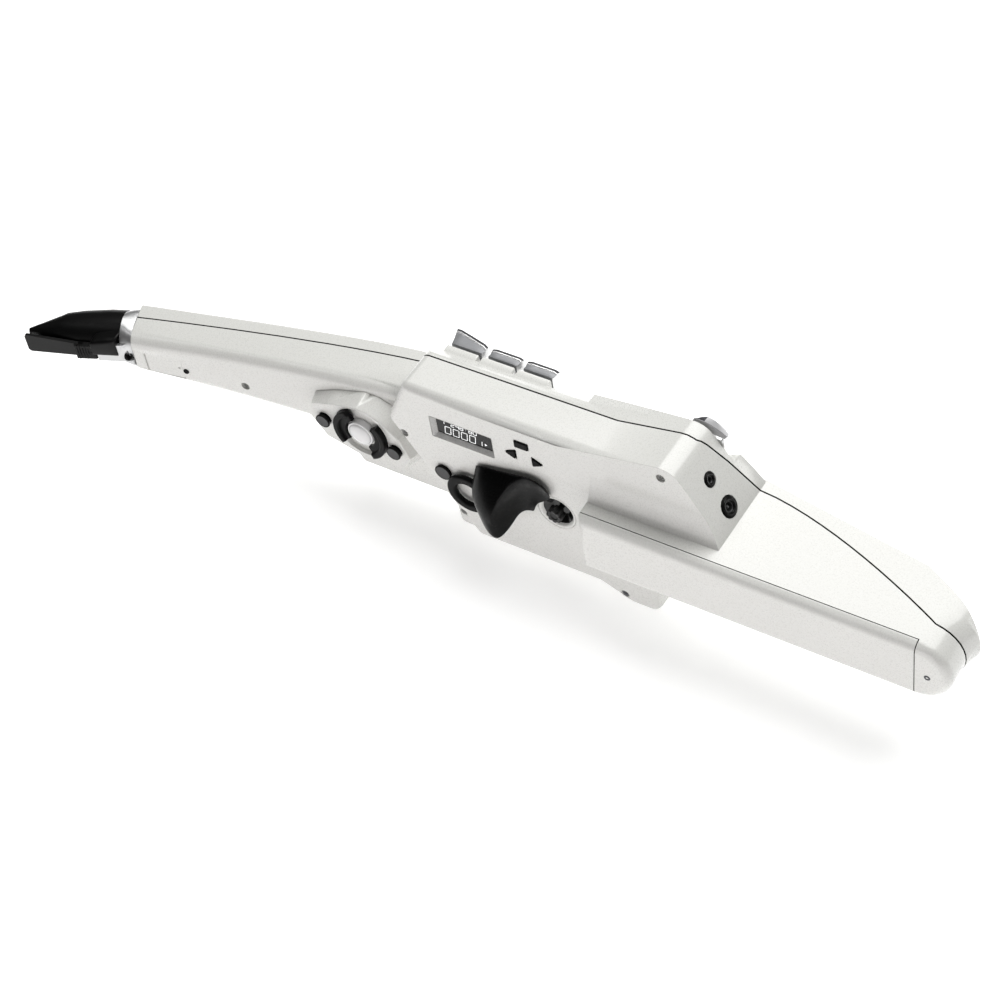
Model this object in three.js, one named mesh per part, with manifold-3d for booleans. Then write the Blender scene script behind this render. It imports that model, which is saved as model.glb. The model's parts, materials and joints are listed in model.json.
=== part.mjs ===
// A digital wind controller: a saxophone-shaped electronic instrument that lies on its left side.
// Millimetres. +X runs from the mouthpiece to the bell, +Y to the finger keys, +Z to the player's right.
import * as THREE from "three";
import { mergeVertices } from "three/addons/utils/BufferGeometryUtils.js";
import Module from "manifold-3d";

const wasm = await Module();
wasm.setup();

// Shared sizes
const wall = 2.6;
const gap = 0.3;
const overrun = 4;
const arcSteps = 4;
const rollSteps = 4;
const roundSides = 16;
const leastRadius = 0.2;

// Centre block, the raised box behind both hands
const blockLength = 124;
const blockHalfWidth = 51;
const blockRoll = 4.5;
const blockCornerRadius = 5;
const seamHeight = 23.5;
const seamRise = 1.5;
const shoulderHeight = 26.5;
const shoulderRun = 9;
const shoulderDrop = 13.5;
const frontHeight = 46;
const crownRadius = 158;

// Bulge at the right little finger, with the sockets
const bulgeLength = 70;
const bulgeRise = 8.5;
const bulgeFlareLength = 44;
const bulgeCornerRadius = 12;

// Tail, battery ridge and bell
const ridgeHalfWidth = 18.75;
const ridgeHeight = 17.2;
const ridgeRoll = 5;
const lidLength = 181;
const lidDepth = 4.9;
const lidEndGap = 1.3;
const tailSeamHeight = 38.5;
const tailSeamLow = -0.5;
const tailFront = 46;
const bellFront = 30;
const bellLipOffset = 3.2;
const bellLipHeight = 9;
const blendWidth = 16;
const blendHeight = 5;

// Resting ledge on the left side, below the left little finger
const ledgeDrop = 10;
const ledgeRear = 9;
const ledgeCornerRadius = 8;

// Neck
const neckLength = 182;
const neckRootHalfWidth = 23.5;
const neckEndHalfWidth = 13.1;
const neckSeamRoot = 39.5;
const neckDrop = 30.5;
const neckRearRoot = 25.5;
const neckRearEnd = 16.4;
const neckFrontRoot = 9;
const neckFrontEnd = 10.4;
const neckRoll = 6.5;
const neckFrontRoll = 3;
const neckBend = 1.33;
const neckStations = 8;
const neckSide = 2;
const neckScrewSide = -3.2;
const neckScrewFromEnd = 72.5;

// Neck ring and mouthpiece
const mouthTilt = 21.6;
const ringLength = 7.5;
const ringRadius = 14.3;
const ringRaise = 0.8;
const mouthLength = 56.8;
const mouthBore = 5;
const tongueShare = 0.261;
const tongueHalfWidth = 6;
const tongueThickness = 2;
const tongueDrop = 12.6;
const ringScrewRadius = 1.5;
const tableSlope = 0.125;
const tableDropShare = 0.31;
const reedTipGap = 1.1;
const reedTipHalfWidth = 6.4;
const reedRootHalfWidth = 4.3;
const reedTipThickness = 1.4;
const reedRootThickness = 2.2;
const clampShare = 0.513;
const clampLengthShare = 0.226;
const clampHalfWidth = 4.8;
const clampDrop = 12.8;
const clampEdge = 0.8;

// Left thumb place
const thumbPlateHeight = 9.5;
const thumbPlateFlare = 4;
const thumbFlangeHalfWidth = 42;
const thumbFlangeRear = 11.7;
const thumbFlangeFront = 31;
const thumbRestRadius = 8;
const thumbRestRise = 1.6;
const arcKeyInner = 9;
const arcKeyOuter = 16.5;
const arcKeyRise = 1.6;
const arcKeySpan = 1.9;
const thumbButtonRadius = 3.9;
const thumbButtonRise = 2;

// Display, menu buttons and power button
const windowLength = 38;
const windowWidth = 15;
const windowSink = 0.7;
const windowThickness = 1.6;
const buttonRise = 0.9;
const buttonTravel = 0.8;
const buttonFlange = 1.2;
const buttonFlangeThickness = 1.2;
const menuLength = 8.5;
const menuWidth = 5;
const arrowLength = 7.5;
const arrowWidth = 7.5;
const powerRadius = 3.9;

// Thumb hook and strap ring
const hookThickness = 3.6;
const hookReach = 19;
const hookLength = 44.5;
const hookHalfWidth = 25;
const hookRows = 22;
const hookEdgeShare = 0.6;
const strapOuter = 11.5;
const strapInner = 7;
const strapThickness = 3.6;
const strapStand = 2.2;

// Volume control
const dishRadius = 9.5;
const dishDepth = 5;
const dishFloorRadius = 5.6;
const dishWall = 1.6;
const knobRadius = 4;
const knobRise = 3.6;
const knobShaftRadius = 1.6;
const potRadius = 7;
const potDepth = 3.6;

// Sockets in the end face of the bulge
const phonesRadius = 4.2;
const phonesBore = 1.8;
const powerInletRadius = 6;
const powerInletBore = 3;
const socketDepth = 11;
const socketLip = 0.5;

// Screw wells in the rear shell
const screwWellRadius = 2.6;
const screwWellDepth = 1.5;

// Batteries
const cellRadius = 7.2;
const cellTipRadius = 2.6;
const cellTipLength = 1.2;
const cellRows = 3;
const lidSpare = 25.6;
const trayWall = 1.2;

// Boards and parts inside
const boardThickness = 1.6;
const boardRear = 11;
const keyBoardLevel = 30;
const neckBoardDrop = 5;
const neckBoardHalfWidth = 12;
const postRadius = 2.4;
const speakerRadius = 14;
const speakerDepth = 7;
const speakerFromSeam = 65;
const sensorLength = 22;
const sensorWidth = 13;
const sensorDepth = 6;
const tubeRadius = 1.6;
const grilleSlotWidth = 1.6;
const grilleSlotPitch = 4;
const grilleHalfWidth = 11;

// Cover on the back of the neck
const doorLength = 23;
const doorWidth = 14;
const doorThickness = 1.6;
const doorBead = 0.8;

// Finger keys
const keyTravel = 1.5;
const pearlRadius = 8.4;
const pearlPitch = 22;
const smallPearlRadius = 4.6;
const keyCapHeight = 3.6;
const keyDish = 1.1;
const keyBossRise = 1.2;
const keyBossMargin = 1.2;
const handRise = 3;
const stemRadius = 2.4;
const padLength = 21;
const padWidth = 9;
const palmLength = 19;
const palmShare = -0.062;
const palmSideShare = 0.78;
const padHeight = 5;
const padRoll = 1.4;
const sideKeyPitch = 21.6;
const sideKeyLength = 17;
const sideKeyWidth = 8;
const sideKeyHeight = 3;
const sideKeyInboard = 9.5;
const sideKeyTall = 4.6;
const sideKeyFlare = 1.5;
const pinkyLength = 12.5;
const pinkyWidth = 9.5;
const cornerKeyInset = 0.6;
const cornerKeyWidth = 8;
const cornerKeyHeight = 4.5;
const cornerKeyRun = 34.6;
const cornerKeyUp = 21.5;
const cornerKeyEdge = 0.8;

// Places along the instrument, counted from the right end of the battery lid
const ridgeLeft = -lidLength - lidEndGap;
const blockRight = ridgeLeft;
const blockLeft = blockRight - blockLength;
const bulgeRight = -lidLength + bulgeLength + lidEndGap * 2;
const bulgeLeft = bulgeRight - bulgeLength;
const neckRoot = blockLeft + blockCornerRadius * 2;
const neckEnd = neckRoot - neckLength;
const bellEnd = ridgeHalfWidth + bellLipOffset;
const blockX = (share) => blockLeft + share * blockLength;
const blockZ = (share) => share * blockHalfWidth;

// Finishes
const finish = (colour, roughness, metalness) => new THREE.MeshStandardMaterial({ color: colour, roughness, metalness });
const pearlWhite = finish(0xe8e8e2, 0.38, 0.1);
const mattBlack = finish(0x202124, 0.55, 0);
const glossBlack = finish(0x0d0e10, 0.12, 0);
const silver = finish(0xa9acb0, 0.34, 0.85);
const boardGreen = finish(0x2d5a3c, 0.6, 0);
const cellGrey = finish(0x6c7076, 0.4, 0.4);
const steel = finish(0x9a9da1, 0.35, 0.9);
const softGrey = finish(0x5b5e63, 0.8, 0);

// Solids and geometry

function solid(geometry) {
  const bare = geometry.clone();
  bare.deleteAttribute("normal");
  bare.deleteAttribute("uv");
  const merged = mergeVertices(bare, 1e-4);
  return new wasm.Manifold(new wasm.Mesh({
    numProp: 3,
    vertProperties: merged.attributes.position.array,
    triVerts: new Uint32Array(merged.index.array),
  }));
}

function geometryOf(body) {
  const mesh = body.getMesh();
  const geometry = new THREE.BufferGeometry();
  geometry.setAttribute("position", new THREE.BufferAttribute(new Float32Array(mesh.vertProperties), 3));
  geometry.setIndex(new THREE.BufferAttribute(new Uint32Array(mesh.triVerts), 1));
  geometry.computeVertexNormals();
  return geometry;
}

const join = (bodies) => bodies.reduce((whole, body) => whole.add(body));
const cut = (body, tools) => tools.reduce((rest, tool) => rest.subtract(tool), body);

function signedVolume(positions, index) {
  let volume = 0;
  for (let i = 0; i < index.length; i += 3) {
    const [a, b, c] = [0, 1, 2].map((k) => new THREE.Vector3().fromArray(positions, index[i + k] * 3));
    volume += a.dot(b.cross(c));
  }
  return volume;
}

// Triangles of a flat outline, in the outline's own direction.
function capFaces(outline) {
  const faces = THREE.ShapeUtils.triangulateShape(outline, []);
  return THREE.ShapeUtils.isClockWise(outline) ? faces.map(([a, b, c]) => [a, c, b]) : faces;
}

// Joins rings of points that each hold as many, and closes the first and the last ring.
function loft(rings, flatCap) {
  const count = rings[0].length;
  const positions = rings.flat().flatMap((point) => point.toArray());
  const index = [];
  for (let ring = 0; ring < rings.length - 1; ring += 1) {
    for (let k = 0; k < count; k += 1) {
      const a = ring * count + k;
      const b = ring * count + ((k + 1) % count);
      index.push(a, b, b + count, a, b + count, a + count);
    }
  }
  const last = (rings.length - 1) * count;
  for (const [a, b, c] of capFaces(flatCap[0])) index.push(c, b, a);
  for (const [a, b, c] of capFaces(flatCap[1])) index.push(last + a, last + b, last + c);
  if (signedVolume(positions, index) < 0) {
    for (let i = 0; i < index.length; i += 3) [index[i + 1], index[i + 2]] = [index[i + 2], index[i + 1]];
  }
  const geometry = new THREE.BufferGeometry();
  geometry.setAttribute("position", new THREE.Float32BufferAttribute(positions, 3));
  geometry.setIndex(index);
  return geometry;
}

function meeting(p, along, q, other) {
  const reach = (q.x - p.x) * other.y - (q.y - p.y) * other.x;
  return p.clone().addScaledVector(along, reach / along.cross(other));
}

// A closed outline with rounded corners [u, v, radius]; inset moves each side inwards.
function roundedOutline(corners, inset = 0, steps = arcSteps) {
  const ring = corners.map(([u, v]) => new THREE.Vector2(u, v));
  const turn = THREE.ShapeUtils.isClockWise(ring) ? -1 : 1;
  const sides = ring.map((point, index) => {
    const along = ring[(index + 1) % ring.length].clone().sub(point).normalize();
    const inward = new THREE.Vector2(-along.y, along.x).multiplyScalar(turn);
    return { point: point.clone().addScaledVector(inward, inset), along };
  });
  return corners.flatMap(([, , radius], index) => {
    const before = sides[(index + sides.length - 1) % sides.length];
    const after = sides[index];
    const corner = meeting(before.point, before.along, after.point, after.along);
    const bend = before.along.cross(after.along) * turn;
    const angle = Math.acos(THREE.MathUtils.clamp(before.along.dot(after.along), -1, 1));
    const size = Math.max(bend > 0 ? radius - inset : radius + inset, leastRadius);
    const side = Math.sign(bend) * turn;
    const start = corner.clone().addScaledVector(before.along, -size * Math.tan(angle / 2));
    const centre = start.clone().add(new THREE.Vector2(-before.along.y, before.along.x).multiplyScalar(side * size));
    return Array.from({ length: steps + 1 }, (_, k) =>
      start.clone().rotateAround(centre, (side * angle * k) / steps));
  });
}

// Levels of plan outlines (X, Z) stacked along Y.
function stack(levels) {
  const rings = levels.map(({ outline, at }) => outline.map(({ x, y }) => new THREE.Vector3(x, at, y)));
  return loft(rings, [levels[0].outline, levels.at(-1).outline]);
}

// A plate with a plan outline, from one Y to another, with its rear and front edges rolled over.
function plate(corners, rear, front, rearRoll = 0, frontRoll = 0, steps = rollSteps) {
  const levels = [];
  const quarter = Math.PI / 2;
  for (let k = rearRoll > 0 ? 0 : steps; k <= steps; k += 1) {
    const turn = (quarter * k) / steps;
    levels.push({ inset: rearRoll * (1 - Math.sin(turn)), at: rear + rearRoll * (1 - Math.cos(turn)) });
  }
  for (let k = frontRoll > 0 ? steps : 0; k >= 0; k -= 1) {
    const turn = (quarter * k) / steps;
    levels.push({ inset: frontRoll * (1 - Math.sin(turn)), at: front - frontRoll * (1 - Math.cos(turn)) });
  }
  return stack(levels.map(({ inset, at }) => ({ outline: roundedOutline(corners, inset), at })));
}

// A side profile (X, Y) extruded along Z.
function sideProfile(points, low, high) {
  const outline = points.map(([x, y]) => new THREE.Vector2(x, y));
  const rings = [low, high].map((at) => outline.map(({ x, y }) => new THREE.Vector3(x, y, at)));
  return loft(rings, [outline, outline]);
}

// A cross profile (Y, Z) extruded along X.
function crossProfile(points, left, right) {
  const outline = points.map(([y, z]) => new THREE.Vector2(y, z));
  const rings = [left, right].map((at) => outline.map(({ x, y }) => new THREE.Vector3(at, x, y)));
  return loft(rings, [outline, outline]);
}

// A turned piece about the Y axis at (x, z), from its profile [radius, y].
function turned(profile, x, z, sides = roundSides) {
  const points = profile.map(([radius, y]) => new THREE.Vector2(radius, y));
  const geometry = new THREE.LatheGeometry(points, sides);
  const merged = mergeVertices(stripped(geometry), 1e-4);
  return facingOut(merged).translate(x, 0, z);
}

function stripped(geometry) {
  geometry.deleteAttribute("normal");
  geometry.deleteAttribute("uv");
  return geometry;
}

// Drops the flat triangles at a lathe's poles and turns the faces outwards.
function facingOut(geometry) {
  const positions = geometry.attributes.position.array;
  const source = geometry.index.array;
  const index = [];
  for (let i = 0; i < source.length; i += 3) {
    const [a, b, c] = [source[i], source[i + 1], source[i + 2]];
    if (a !== b && b !== c && c !== a) index.push(a, b, c);
  }
  if (signedVolume(positions, index) < 0) {
    for (let i = 0; i < index.length; i += 3) [index[i + 1], index[i + 2]] = [index[i + 2], index[i + 1]];
  }
  geometry.setIndex(index);
  return geometry;
}

const pin = (x, z, radius, rear, front, sides = roundSides) =>
  turned([[0, rear], [radius, rear], [radius, front], [0, front]], x, z, sides);

function rectangle(x, z, length, width, radius) {
  const [u, v] = [length / 2, width / 2];
  return [[x - u, z - v, radius], [x + u, z - v, radius], [x + u, z + v, radius], [x - u, z + v, radius]];
}

function box(x0, x1, y0, y1, z0, z1) {
  return new THREE.BoxGeometry(x1 - x0, y1 - y0, z1 - z0)
    .translate((x0 + x1) / 2, (y0 + y1) / 2, (z0 + z1) / 2);
}

// Housing forms. Each takes the inset of its surface: 0 outside, the wall's thickness inside.

const blockCornerShares = [
  [0.115, 1], [0, 0.392], [0.321, -0.814], [0.381, -1], [0.978, -1], [1.131, -1.157], [1.26, -1.157], [1.26, 1],
];

function blockCorners() {
  return blockCornerShares.map(([u, v]) => [blockX(u), blockZ(v), blockCornerRadius]);
}

function blockForm(inset) {
  const quarter = Math.PI / 2;
  const levels = [];
  for (let k = 0; k <= rollSteps; k += 1) {
    const turn = (quarter * k) / rollSteps;
    const reach = Math.max(blockRoll - inset, leastRadius);
    levels.push({ inset: inset + reach * (1 - Math.sin(turn)), at: inset + reach * (1 - Math.cos(turn)) });
  }
  levels.push({ inset, at: frontHeight + overrun });
  return stack(levels.map((level) => ({ outline: roundedOutline(blockCorners(), level.inset), at: level.at })));
}

function bulgeCorners() {
  const top = blockHalfWidth + bulgeRise;
  const faceRun = bulgeLength - bulgeFlareLength;
  return [
    [bulgeLeft - bulgeFlareLength / 2, blockHalfWidth - bulgeRise / 2, leastRadius],
    [bulgeLeft + bulgeFlareLength, top, bulgeCornerRadius],
    [bulgeLeft + bulgeFlareLength + faceRun, ridgeHalfWidth, leastRadius],
    [bulgeLeft + bulgeFlareLength, -ridgeHalfWidth / 2, leastRadius],
    [bulgeLeft - bulgeFlareLength / 2, -ridgeHalfWidth / 2, leastRadius],
  ];
}

function bulgeForm(inset, rear = inset) {
  const outline = roundedOutline(bulgeCorners(), inset);
  return stack([{ outline, at: rear }, { outline, at: frontHeight + overrun }]);
}

const crownAt = (z) => frontHeight - crownRadius + Math.sqrt(crownRadius ** 2 - z ** 2);

// The height of the slanted shoulder beside the crown.
function shoulderAt(z, inset) {
  const slope = shoulderDrop / shoulderRun;
  return shoulderHeight + (blockHalfWidth - Math.abs(z)) * slope - inset * Math.hypot(1, slope);
}

// The crowned front, with a slanted shoulder on each side if wanted.
function crownForm(inset, shouldered) {
  const far = blockHalfWidth + bulgeRise + ledgeDrop + overrun;
  const half = blockHalfWidth - shoulderRun;
  const steps = arcSteps * 3;
  const places = [-far];
  for (let k = 0; k <= steps; k += 1) places.push(-half + (2 * half * k) / steps);
  places.push(far);
  if (!shouldered) places.splice(1, 0, -blockHalfWidth - bulgeRise);
  if (!shouldered) places.splice(-1, 0, blockHalfWidth, blockHalfWidth + bulgeRise);
  const points = places.map((z) => {
    const crown = crownAt(z) - inset;
    return [shouldered ? Math.min(crown, shoulderAt(z, inset)) : crown, z];
  });
  points.push([-ridgeHeight - overrun, far], [-ridgeHeight - overrun, -far]);
  return crossProfile(points, blockLeft - overrun, bellEnd * 2);
}

function ledgeForm(inset) {
  const low = -blockHalfWidth - ledgeDrop;
  const corners = [
    [blockX(0.2), low, ledgeCornerRadius], [blockX(1.26), low, ledgeCornerRadius],
    [blockX(1.26), 0, ledgeCornerRadius], [blockX(0.2), 0, ledgeCornerRadius],
  ];
  const front = frontHeight - ledgeDrop;
  return stack([
    { outline: roundedOutline(corners, inset + ledgeDrop / 2), at: ledgeRear + inset },
    { outline: roundedOutline(corners, inset), at: ledgeRear + ledgeDrop / 2 },
    { outline: roundedOutline(corners, inset), at: front - ledgeDrop / 2 },
    { outline: roundedOutline(corners, inset + ledgeDrop / 2), at: front - inset },
  ]);
}

// A plan outline with straight sides and a half-round right end about (x, 0).
function stadium(left, centre, half, inset = 0) {
  const radius = half - inset;
  const points = [new THREE.Vector2(left + inset, -radius)];
  const steps = arcSteps * 4;
  for (let k = 0; k <= steps; k += 1) {
    const turn = -Math.PI / 2 + (Math.PI * k) / steps;
    points.push(new THREE.Vector2(centre + radius * Math.cos(turn), radius * Math.sin(turn)));
  }
  points.push(new THREE.Vector2(left + inset, radius));
  return points;
}

function tailForm(inset) {
  const quarter = Math.PI / 2;
  const levels = [];
  for (let k = 0; k <= rollSteps; k += 1) {
    const turn = (quarter * k) / rollSteps;
    const reach = Math.max(ridgeRoll - inset, leastRadius);
    const inwards = inset + reach * (1 - Math.sin(turn));
    levels.push({
      outline: stadium(ridgeLeft, 0, ridgeHalfWidth, inwards),
      at: -ridgeHeight + inset + reach * (1 - Math.cos(turn)),
    });
  }
  levels.push({ outline: stadium(ridgeLeft, 0, ridgeHalfWidth, inset), at: tailSeamLow });
  levels.push({ outline: stadium(ridgeLeft, bellLipOffset, ridgeHalfWidth, inset), at: bellLipHeight });
  levels.push({ outline: stadium(ridgeLeft, bellLipOffset, ridgeHalfWidth, inset), at: tailFront + overrun });
  return stack(levels);
}

// Side view of the tail: the front falls from the bulge to the bell and rounds over at the lip.
function tailProfile(inset) {
  const end = bellEnd + overrun;
  return sideProfile([
    [ridgeLeft, -ridgeHeight - overrun],
    [end, -ridgeHeight - overrun],
    [end, bellLipHeight - inset],
    [bellEnd - inset, bellLipHeight - inset],
    [bellEnd * 0.55, bellLipHeight * 1.75 - inset],
    [-bellEnd * 0.62, bellFront - inset],
    [bulgeRight, tailFront - inset],
    [ridgeLeft, tailFront - inset],
  ], -ridgeHalfWidth - overrun, ridgeHalfWidth + overrun);
}

// The hollow sweep between the bulge's rear face and the battery ridge.
function blendForm() {
  const points = [[overrun, ridgeHalfWidth + blendWidth], [0, ridgeHalfWidth + blendWidth]];
  const steps = arcSteps * 2;
  for (let k = 1; k <= steps; k += 1) {
    const share = k / steps;
    points.push([-blendHeight * share ** 2, ridgeHalfWidth + blendWidth * (1 - share)]);
  }
  points.push([-blendHeight, ridgeHalfWidth - overrun], [overrun, ridgeHalfWidth - overrun]);
  const outline = roundedOutline(bulgeCorners());
  const plan = stack([{ outline, at: -blendHeight - overrun }, { outline, at: overrun * 2 }]);
  return solid(crossProfile(points, ridgeLeft + gap, bulgeRight)).intersect(solid(plan));
}

// Neck stations, from the root at the block (share 1) to the end at the ring (share 0).
function neckStation(share) {
  const away = (1 - share) ** neckBend;
  const seam = neckSeamRoot - neckDrop * away;
  const blend = (root, end) => end + (root - end) * share;
  return {
    x: neckEnd + neckLength * share,
    half: blend(neckRootHalfWidth, neckEndHalfWidth),
    seam,
    rear: seam - blend(neckRearRoot, neckRearEnd),
    front: seam + blend(neckFrontRoot, neckFrontEnd),
  };
}

const neckShareAt = (x) => (x - neckEnd) / neckLength;
const tilt = THREE.MathUtils.degToRad(mouthTilt);
const leanStations = 2.5;

// A section of the neck. Near the mouthpiece it leans over, square to the mouthpiece's axis.
function neckSection(station, inset) {
  const { x, half, rear, front } = station;
  const crown = neckFrontRoll / 2;
  const corners = [
    [rear, -half, neckRoll], [front, -half, neckFrontRoll], [front + crown, 0, neckRoll],
    [front, half, neckFrontRoll], [rear, half, neckRoll],
  ];
  const share = neckShareAt(x);
  const lean = Math.tan(tilt) * Math.max(0, 1 - share * leanStations) ** 2;
  const middle = (rear + front) / 2;
  return roundedOutline(corners, inset).map(({ x: y, y: z }) => new THREE.Vector3(x - (y - middle) * lean, y, z));
}

function neckForm(inset) {
  const rings = [];
  for (let k = 0; k <= neckStations; k += 1) {
    rings.push(neckSection(neckStation(k / neckStations), inset));
  }
  const tailRing = rings.at(-1).map((point) => point.clone().setX(point.x + blockCornerRadius * 5));
  rings.push(tailRing);
  if (inset > 0) rings.unshift(rings[0].map((point) => point.clone().setX(point.x - overrun)));
  const flat = (ring) => ring.map((point) => new THREE.Vector2(point.y, point.z));
  return loft(rings, [flat(rings[0]), flat(rings.at(-1))]).translate(0, 0, neckSide);
}

const thumbFlangeShares = [
  [-0.403, -0.488], [-0.349, -0.583], [-0.275, -1], [0.32, -1], [0.32, 0], [-0.403, 0],
];

function thumbFlangeForm(inset) {
  const corners = thumbFlangeShares.map(([u, v]) => [blockX(u), v * thumbFlangeHalfWidth, blockCornerRadius]);
  const outline = roundedOutline(corners, inset);
  return stack([
    { outline: roundedOutline(corners, inset + blockRoll / 2), at: thumbFlangeRear + inset },
    { outline, at: thumbFlangeRear + blockRoll / 2 + inset },
    { outline, at: thumbFlangeFront - inset },
  ]);
}

// The line where the rear and the front shell meet, in side view.
function seamLine() {
  const points = [];
  const steps = arcSteps * 3;
  for (let k = 0; k <= steps; k += 1) {
    const { x, seam } = neckStation((k / steps) * neckShareAt(blockLeft - gap));
    if (k === 0) points.push([x - mouthLength, seam - overrun]);
    points.push([x, seam]);
  }
  points.push([blockX(0.1), seamHeight]);
  points.push([bulgeLeft + bulgeFlareLength, seamHeight + seamRise]);
  points.push([bulgeRight - bulgeFlareLength * 0.3, (seamHeight + tailSeamHeight) / 2 + seamRise]);
  const run = bellLipOffset - bulgeRight;
  for (let k = 0; k <= steps; k += 1) {
    const share = k / steps;
    const fall = (tailSeamHeight - tailSeamLow) * share ** 1.5;
    points.push([bulgeRight + run * share, tailSeamHeight - fall]);
  }
  points.push([bellEnd * 2, tailSeamLow]);
  return points;
}

function seamCutter(front) {
  const line = seamLine().map(([x, y]) => [x, y + (front ? gap : 0)]);
  const far = front ? frontHeight * 3 : -frontHeight * 3;
  const [first, last] = [line[0], line.at(-1)];
  const width = blockHalfWidth * 2;
  return sideProfile([...line, [last[0], far], [first[0], far]], -width, width);
}

// The finger keys. Each has a place, an outline, a seat on the front shell and a stem.

const neckFrontAt = (x) => neckStation(neckShareAt(x)).front + neckFrontRoll / 2;

const thumbX = blockX(-0.171);
const thumbZ = -blockHalfWidth * 0.06;
const hookLeft = blockX(0.436);
const strapX = blockX(0.348);
const strapZ = blockZ(-0.267);
const rightHandX = blockX(0.435);
const dishX = blockX(0.813);
const dishZ = -blockHalfWidth * 0.108;

function pearlKeys() {
  const leftFirst = thumbX - pearlPitch * 0.8;
  const rightFirst = rightHandX - pearlPitch * 0.3;
  const keys = [];
  ["b_key", "a_key", "g_key"].forEach((name, k) => {
    const x = leftFirst + pearlPitch * k;
    keys.push({ name, x, z: neckSide, radius: pearlRadius, seat: neckFrontAt(x) + keyBossRise });
  });
  ["f_key", "e_key", "d_key"].forEach((name, k) => {
    keys.push({ name, x: rightFirst + pearlPitch * k, z: 0, radius: pearlRadius, seat: frontHeight + handRise });
  });
  const frontX = leftFirst - pearlPitch * 0.85;
  keys.push({ name: "front_f_key", x: frontX, z: neckSide, radius: smallPearlRadius, seat: neckFrontAt(frontX) + keyBossRise });
  const bisX = leftFirst + pearlPitch / 2;
  const bisZ = neckSide - pearlRadius - smallPearlRadius / 2;
  keys.push({ name: "bis_key", x: bisX, z: bisZ, radius: smallPearlRadius, seat: neckFrontAt(bisX) + keyBossRise });
  return keys;
}

function padKeys() {
  const keys = [];
  const pad = (name, x, z, length, width, seat, turn = 0) => keys.push({ name, x, z, length, width, seat, turn });
  const palmPitch = palmLength + keyBossMargin * 2 + gap;
  ["palm_d_key", "palm_e_flat_key", "palm_f_key"].forEach((name, k) => {
    pad(name, blockX(palmShare) + palmPitch * (k - 1), -thumbFlangeHalfWidth * palmSideShare, palmLength, padWidth,
      thumbFlangeFront + keyBossRise * 2);
  });
  const tableX = rightHandX - pinkyLength;
  const tableZ = -blockHalfWidth * 0.52;
  ["g_sharp_key", "c_sharp_key", "low_b_key", "low_b_flat_key"].forEach((name, k) => {
    const x = tableX + (pinkyLength + gap * 4) * (k % 2);
    const z = tableZ - (pinkyWidth + gap * 4) * Math.floor(k / 2);
    pad(name, x, z, pinkyLength, pinkyWidth, frontHeight + gap);
  });
  const bulgeZ = blockHalfWidth * 0.72;
  const bulgeX = bulgeRight - bulgeLength * 0.4;
  pad("low_c_key", bulgeX, bulgeZ, padLength, padWidth, crownAt(bulgeZ) + keyBossRise);
  return keys;
}

const sideKeyZ = blockHalfWidth - sideKeyInboard;
const sideKeySeat = crownAt(sideKeyZ - sideKeyWidth / 2) + gap;

function sideKeys() {
  const first = blockX(0.225);
  return ["side_b_flat_key", "side_c_key", "high_e_key"].map((name, k) => ({
    name, x: first + sideKeyPitch * k, z: sideKeyZ, tall: k === 0 ? sideKeyTall : 0, seat: sideKeySeat,
  }));
}

// Bulge end face: its lower edge, its direction up the face and its outward normal
const faceBase = new THREE.Vector2(bulgeRight, ridgeHalfWidth);
const faceAlong = new THREE.Vector2(-(bulgeLength - bulgeFlareLength), blockHalfWidth + bulgeRise - ridgeHalfWidth).normalize();
const faceTurn = Math.atan2(faceAlong.x, faceAlong.y);

const keyDepth = keyTravel + gap;

// The key at the bulge's corner follows the bulge's edge and sits in a pocket of the front shell.
const cornerKeyLeft = bulgeRight - cornerKeyRun;
const cornerKeyX = cornerKeyLeft + stemRadius / 2;
const cornerKeyZ = blockHalfWidth + gap * 5;
const cornerKeySeat = crownAt(blockHalfWidth + bulgeRise) + gap;

function cornerStrip(outer, inner, rear, front, grow = 0) {
  const ring = (inset, extra) => solid(stack([rear - extra, front + extra].map((at) =>
    ({ outline: roundedOutline(bulgeCorners(), inset, arcSteps * 2), at }))));
  const across = new THREE.Vector2(-faceAlong.y, faceAlong.x);
  const end = faceBase.clone().addScaledVector(faceAlong, cornerKeyUp - grow);
  const [inside, outside] = [blockHalfWidth / 2, -blockHalfWidth / 2].map((reach) => end.clone().addScaledVector(across, reach));
  const left = cornerKeyLeft - grow;
  const plan = [[left, inside.y], [inside.x, inside.y], [outside.x, outside.y], [outside.x, blockHalfWidth * 2], [left, blockHalfWidth * 2]];
  const outline = plan.map(([x, z]) => new THREE.Vector2(x, z));
  const span = stack([{ outline, at: rear - 1 }, { outline, at: front + 1 }]);
  return ring(outer, 0).subtract(ring(inner, 1)).intersect(solid(span));
}

function cornerKey() {
  const under = cornerKeySeat + keyDepth;
  const [outer, inner, top] = [cornerKeyInset, cornerKeyInset + cornerKeyWidth, under + cornerKeyHeight];
  const edge = cornerKeyEdge;
  const strip = join([
    cornerStrip(outer, inner, under, top - edge),
    cornerStrip(outer + edge, inner - edge, top - edge - leastRadius, top, -edge),
  ]);
  const stem = pin(cornerKeyX, cornerKeyZ, stemRadius, stemEnd(cornerKeyX), under + edge, roundSides - 4);
  return geometryOf(join([strip, solid(stem)]));
}

const cornerPocket = () =>
  cornerStrip(-overrun, cornerKeyInset + cornerKeyWidth + gap, cornerKeySeat, frontHeight, gap);
const cornerTub = () =>
  cornerStrip(-overrun, cornerKeyInset + cornerKeyWidth + gap + wall, cornerKeySeat - wall, frontHeight, gap + wall);

function stemEnd(x) {
  return (x < blockLeft ? keyBoardLevel - neckBoardDrop : keyBoardLevel) + boardThickness + gap + keyTravel;
}

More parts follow.
